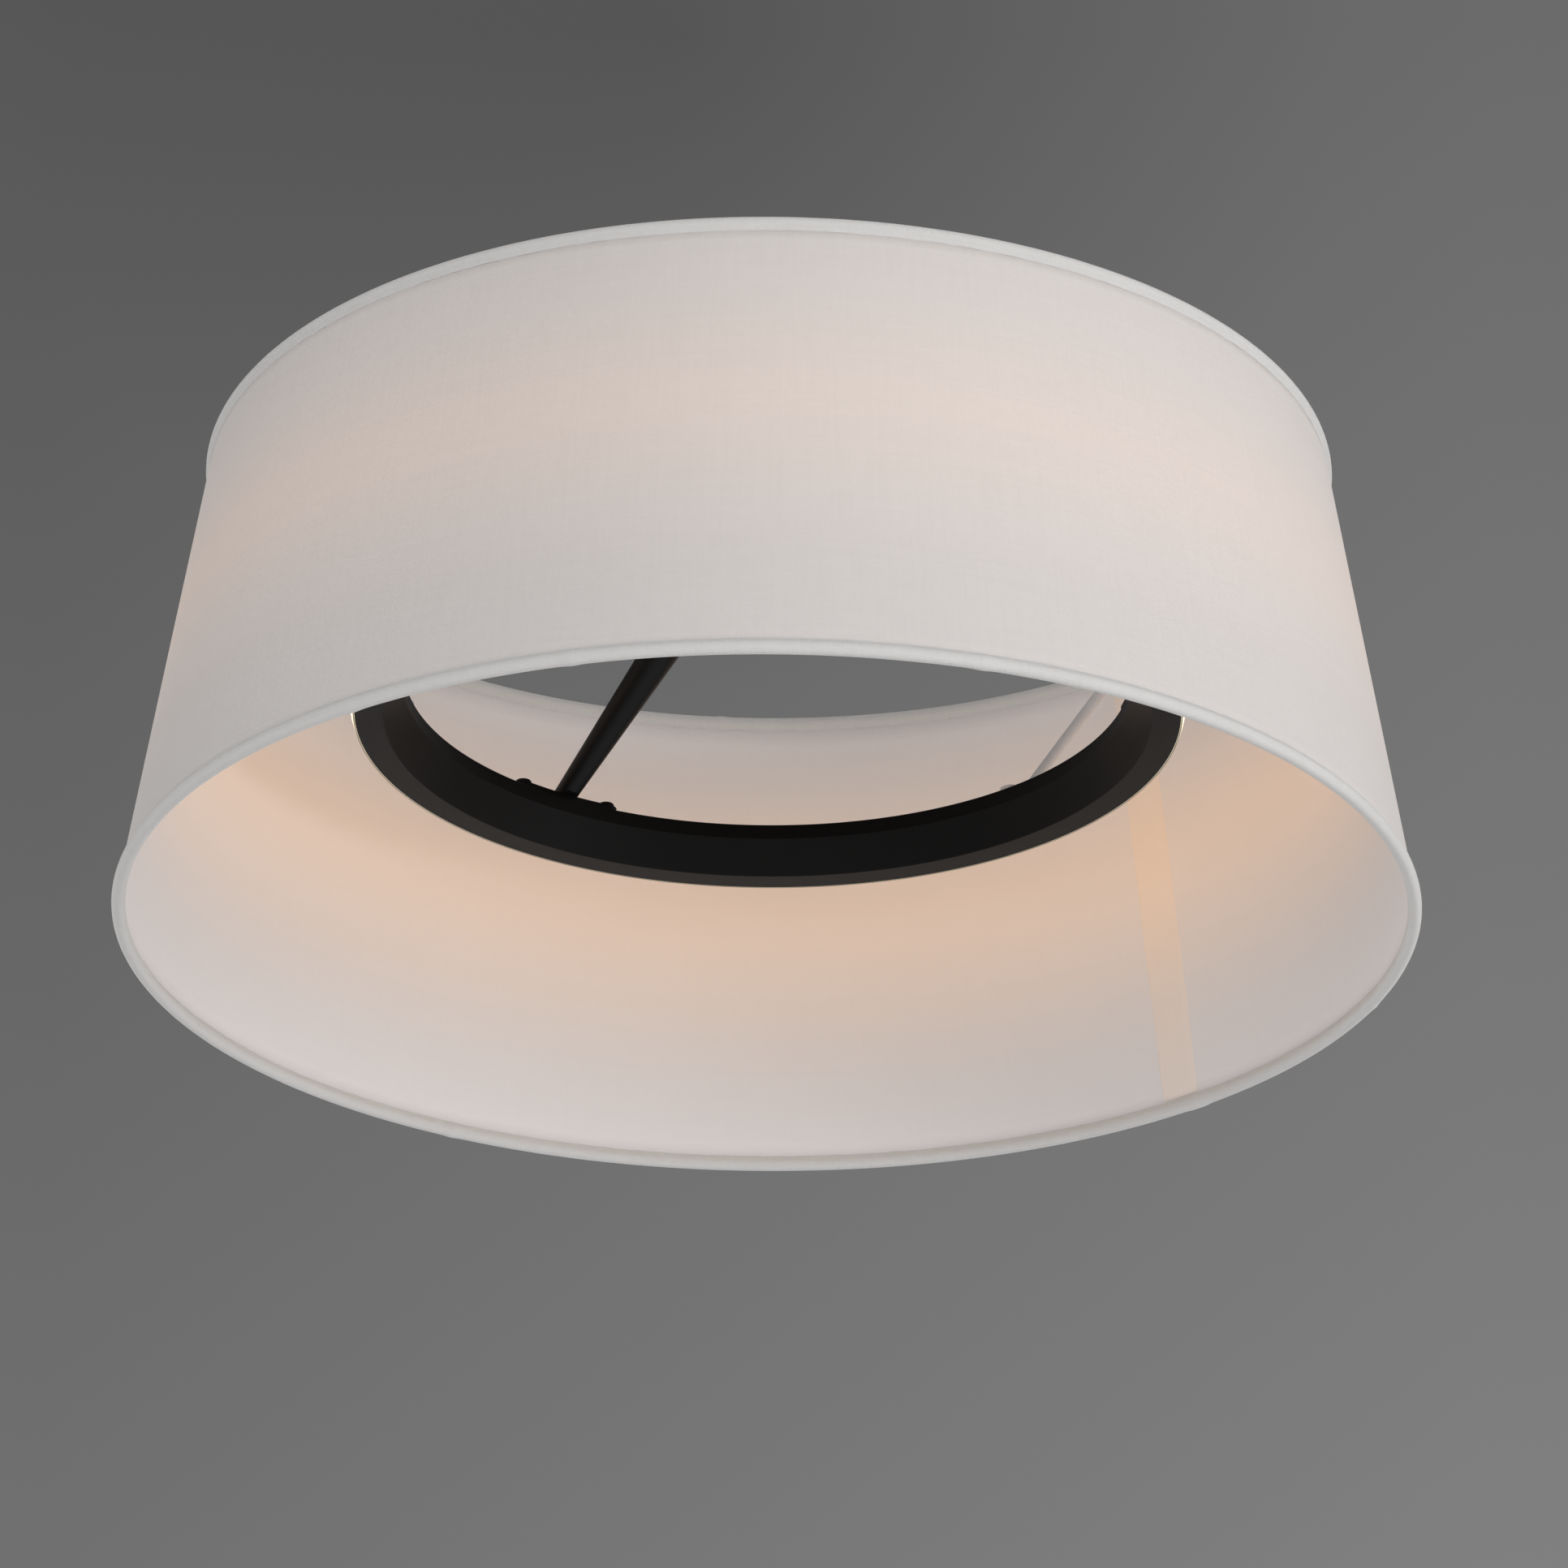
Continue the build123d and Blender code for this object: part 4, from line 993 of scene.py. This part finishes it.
# %% World
backdrop_mid, backdrop_side, backdrop_up, backdrop_spot = 0.155, 0.026, -0.034, -0.026
backdrop_half_width, backdrop_low, backdrop_high = 0.092, 0.32, 0.50
spot_towards, spot_reach = (-0.012, 0.866, 0.50), 0.085
studio_below, studio_above = 0.80, 0.30
world = bpy.data.worlds.new("world")
bpy.context.scene.world = world
world.use_nodes = True
tree = world.node_tree
tree.nodes.clear()
toward = node(tree, "ShaderNodeTexCoord").outputs["Generated"]
toward_parts = node(tree, "ShaderNodeSeparateXYZ", {0: toward})
sideways = spread(
    tree, toward_parts.outputs[0], -backdrop_half_width, backdrop_half_width, -1.0, 1.0
)
upwards = spread(tree, toward_parts.outputs[2], backdrop_low, backdrop_high, -1.0, 1.0)
dark_place = node(
    tree, "ShaderNodeVectorMath", {0: toward, 1: spot_towards}, operation="DISTANCE"
)
dark_spot = spread(tree, dark_place.outputs["Value"], 0.0, spot_reach, backdrop_spot, 0.0)
slopes = maths(
    tree,
    "ADD",
    maths(tree, "MULTIPLY", sideways, backdrop_side),
    maths(tree, "MULTIPLY", upwards, backdrop_up),
)
grey = maths(tree, "ADD", maths(tree, "ADD", backdrop_mid, slopes), dark_spot)
seen = node(tree, "ShaderNodeBackground", {"Color": (1.0, 1.0, 1.0, 1.0), "Strength": grey})
overhead = spread(tree, toward_parts.outputs[2], 0.05, 0.5, studio_below, studio_above)
studio = node(
    tree, "ShaderNodeBackground", {"Color": (1.0, 0.985, 0.975, 1.0), "Strength": overhead}
)
path = node(tree, "ShaderNodeLightPath")
direct = maths(
    tree,
    "MAXIMUM",
    path.outputs["Is Camera Ray"],
    maths(tree, "MAXIMUM", path.outputs["Is Glossy Ray"], path.outputs["Is Transmission Ray"]),
)
shown = node(tree, "ShaderNodeMixShader", {0: direct, 1: studio.outputs[0], 2: seen.outputs[0]})
node(tree, "ShaderNodeOutputWorld", {0: shown.outputs[0]})
print("backdrop grey", backdrop_mid)

# %% [markdown]
# The light hangs from a ceiling, so the plain pale floor is a room's height below it, where it
# carries the light's soft shadow.

# %% Floor
floor_half, floor_z = 9.0, -2.4
floor_corners = [(-1, -1), (1, -1), (1, 1), (-1, 1)]
floor_mesh = bpy.data.meshes.new("floor")
floor_mesh.from_pydata(
    [(x * floor_half, y * floor_half, floor_z) for x, y in floor_corners], [], [(0, 1, 2, 3)]
)
floor_finish, tree, shader = finish_named("pale floor", Roughness=0.8)
place = node(tree, "ShaderNodeTexCoord").outputs["Object"]
tree.links.new(
    mixed(tree, noise(tree, place, 3.0), (0.66, 0.655, 0.65, 1.0), (0.69, 0.685, 0.68, 1.0)),
    shader.inputs["Base Color"],
)
floor_mesh.materials.append(floor_finish)
floor = bpy.data.objects.new("floor", floor_mesh)
bpy.context.scene.collection.objects.link(floor)
print("floor at", floor_z)

# %% [markdown]
# Four large soft lamps, which the camera doesn't see. The key stands low on the right, where the
# photograph is brightest. One fills the front, one fills the back, and one stands for what the
# floor throws up into the shade.

# %% Lamps
light_middle = (0, 0, -0.13)


def soft_lamp(name, place, size, power, colour):
    """A square lamp that faces the middle of the light. size is in metres and power in watts."""
    data = bpy.data.lights.new(name, "AREA")
    data.size, data.energy, data.color = size, power, colour
    lamp = bpy.data.objects.new(name, data)
    bpy.context.scene.collection.objects.link(lamp)
    lamp.visible_camera = False
    lamp.location = place
    ahead = Vector(light_middle) - Vector(place)
    lamp.rotation_euler = ahead.to_track_quat("-Z", "Y").to_euler()


fill_colour = (1.0, 0.99, 0.985)
soft_lamp("key", (3.1, -1.5, -0.55), 1.8, 42.0, (1.0, 0.985, 0.975))
soft_lamp("front fill", (-0.7, -3.4, -0.42), 1.4, 25.0, fill_colour)
soft_lamp("back fill", (-1.6, 3.3, -0.30), 1.6, 26.0, fill_colour)
soft_lamp("floor bounce", (0, 0, -2.3), 3.0, 14.0, (0.99, 0.99, 1.0))
print("lamps", [lamp.name for lamp in bpy.data.lights])
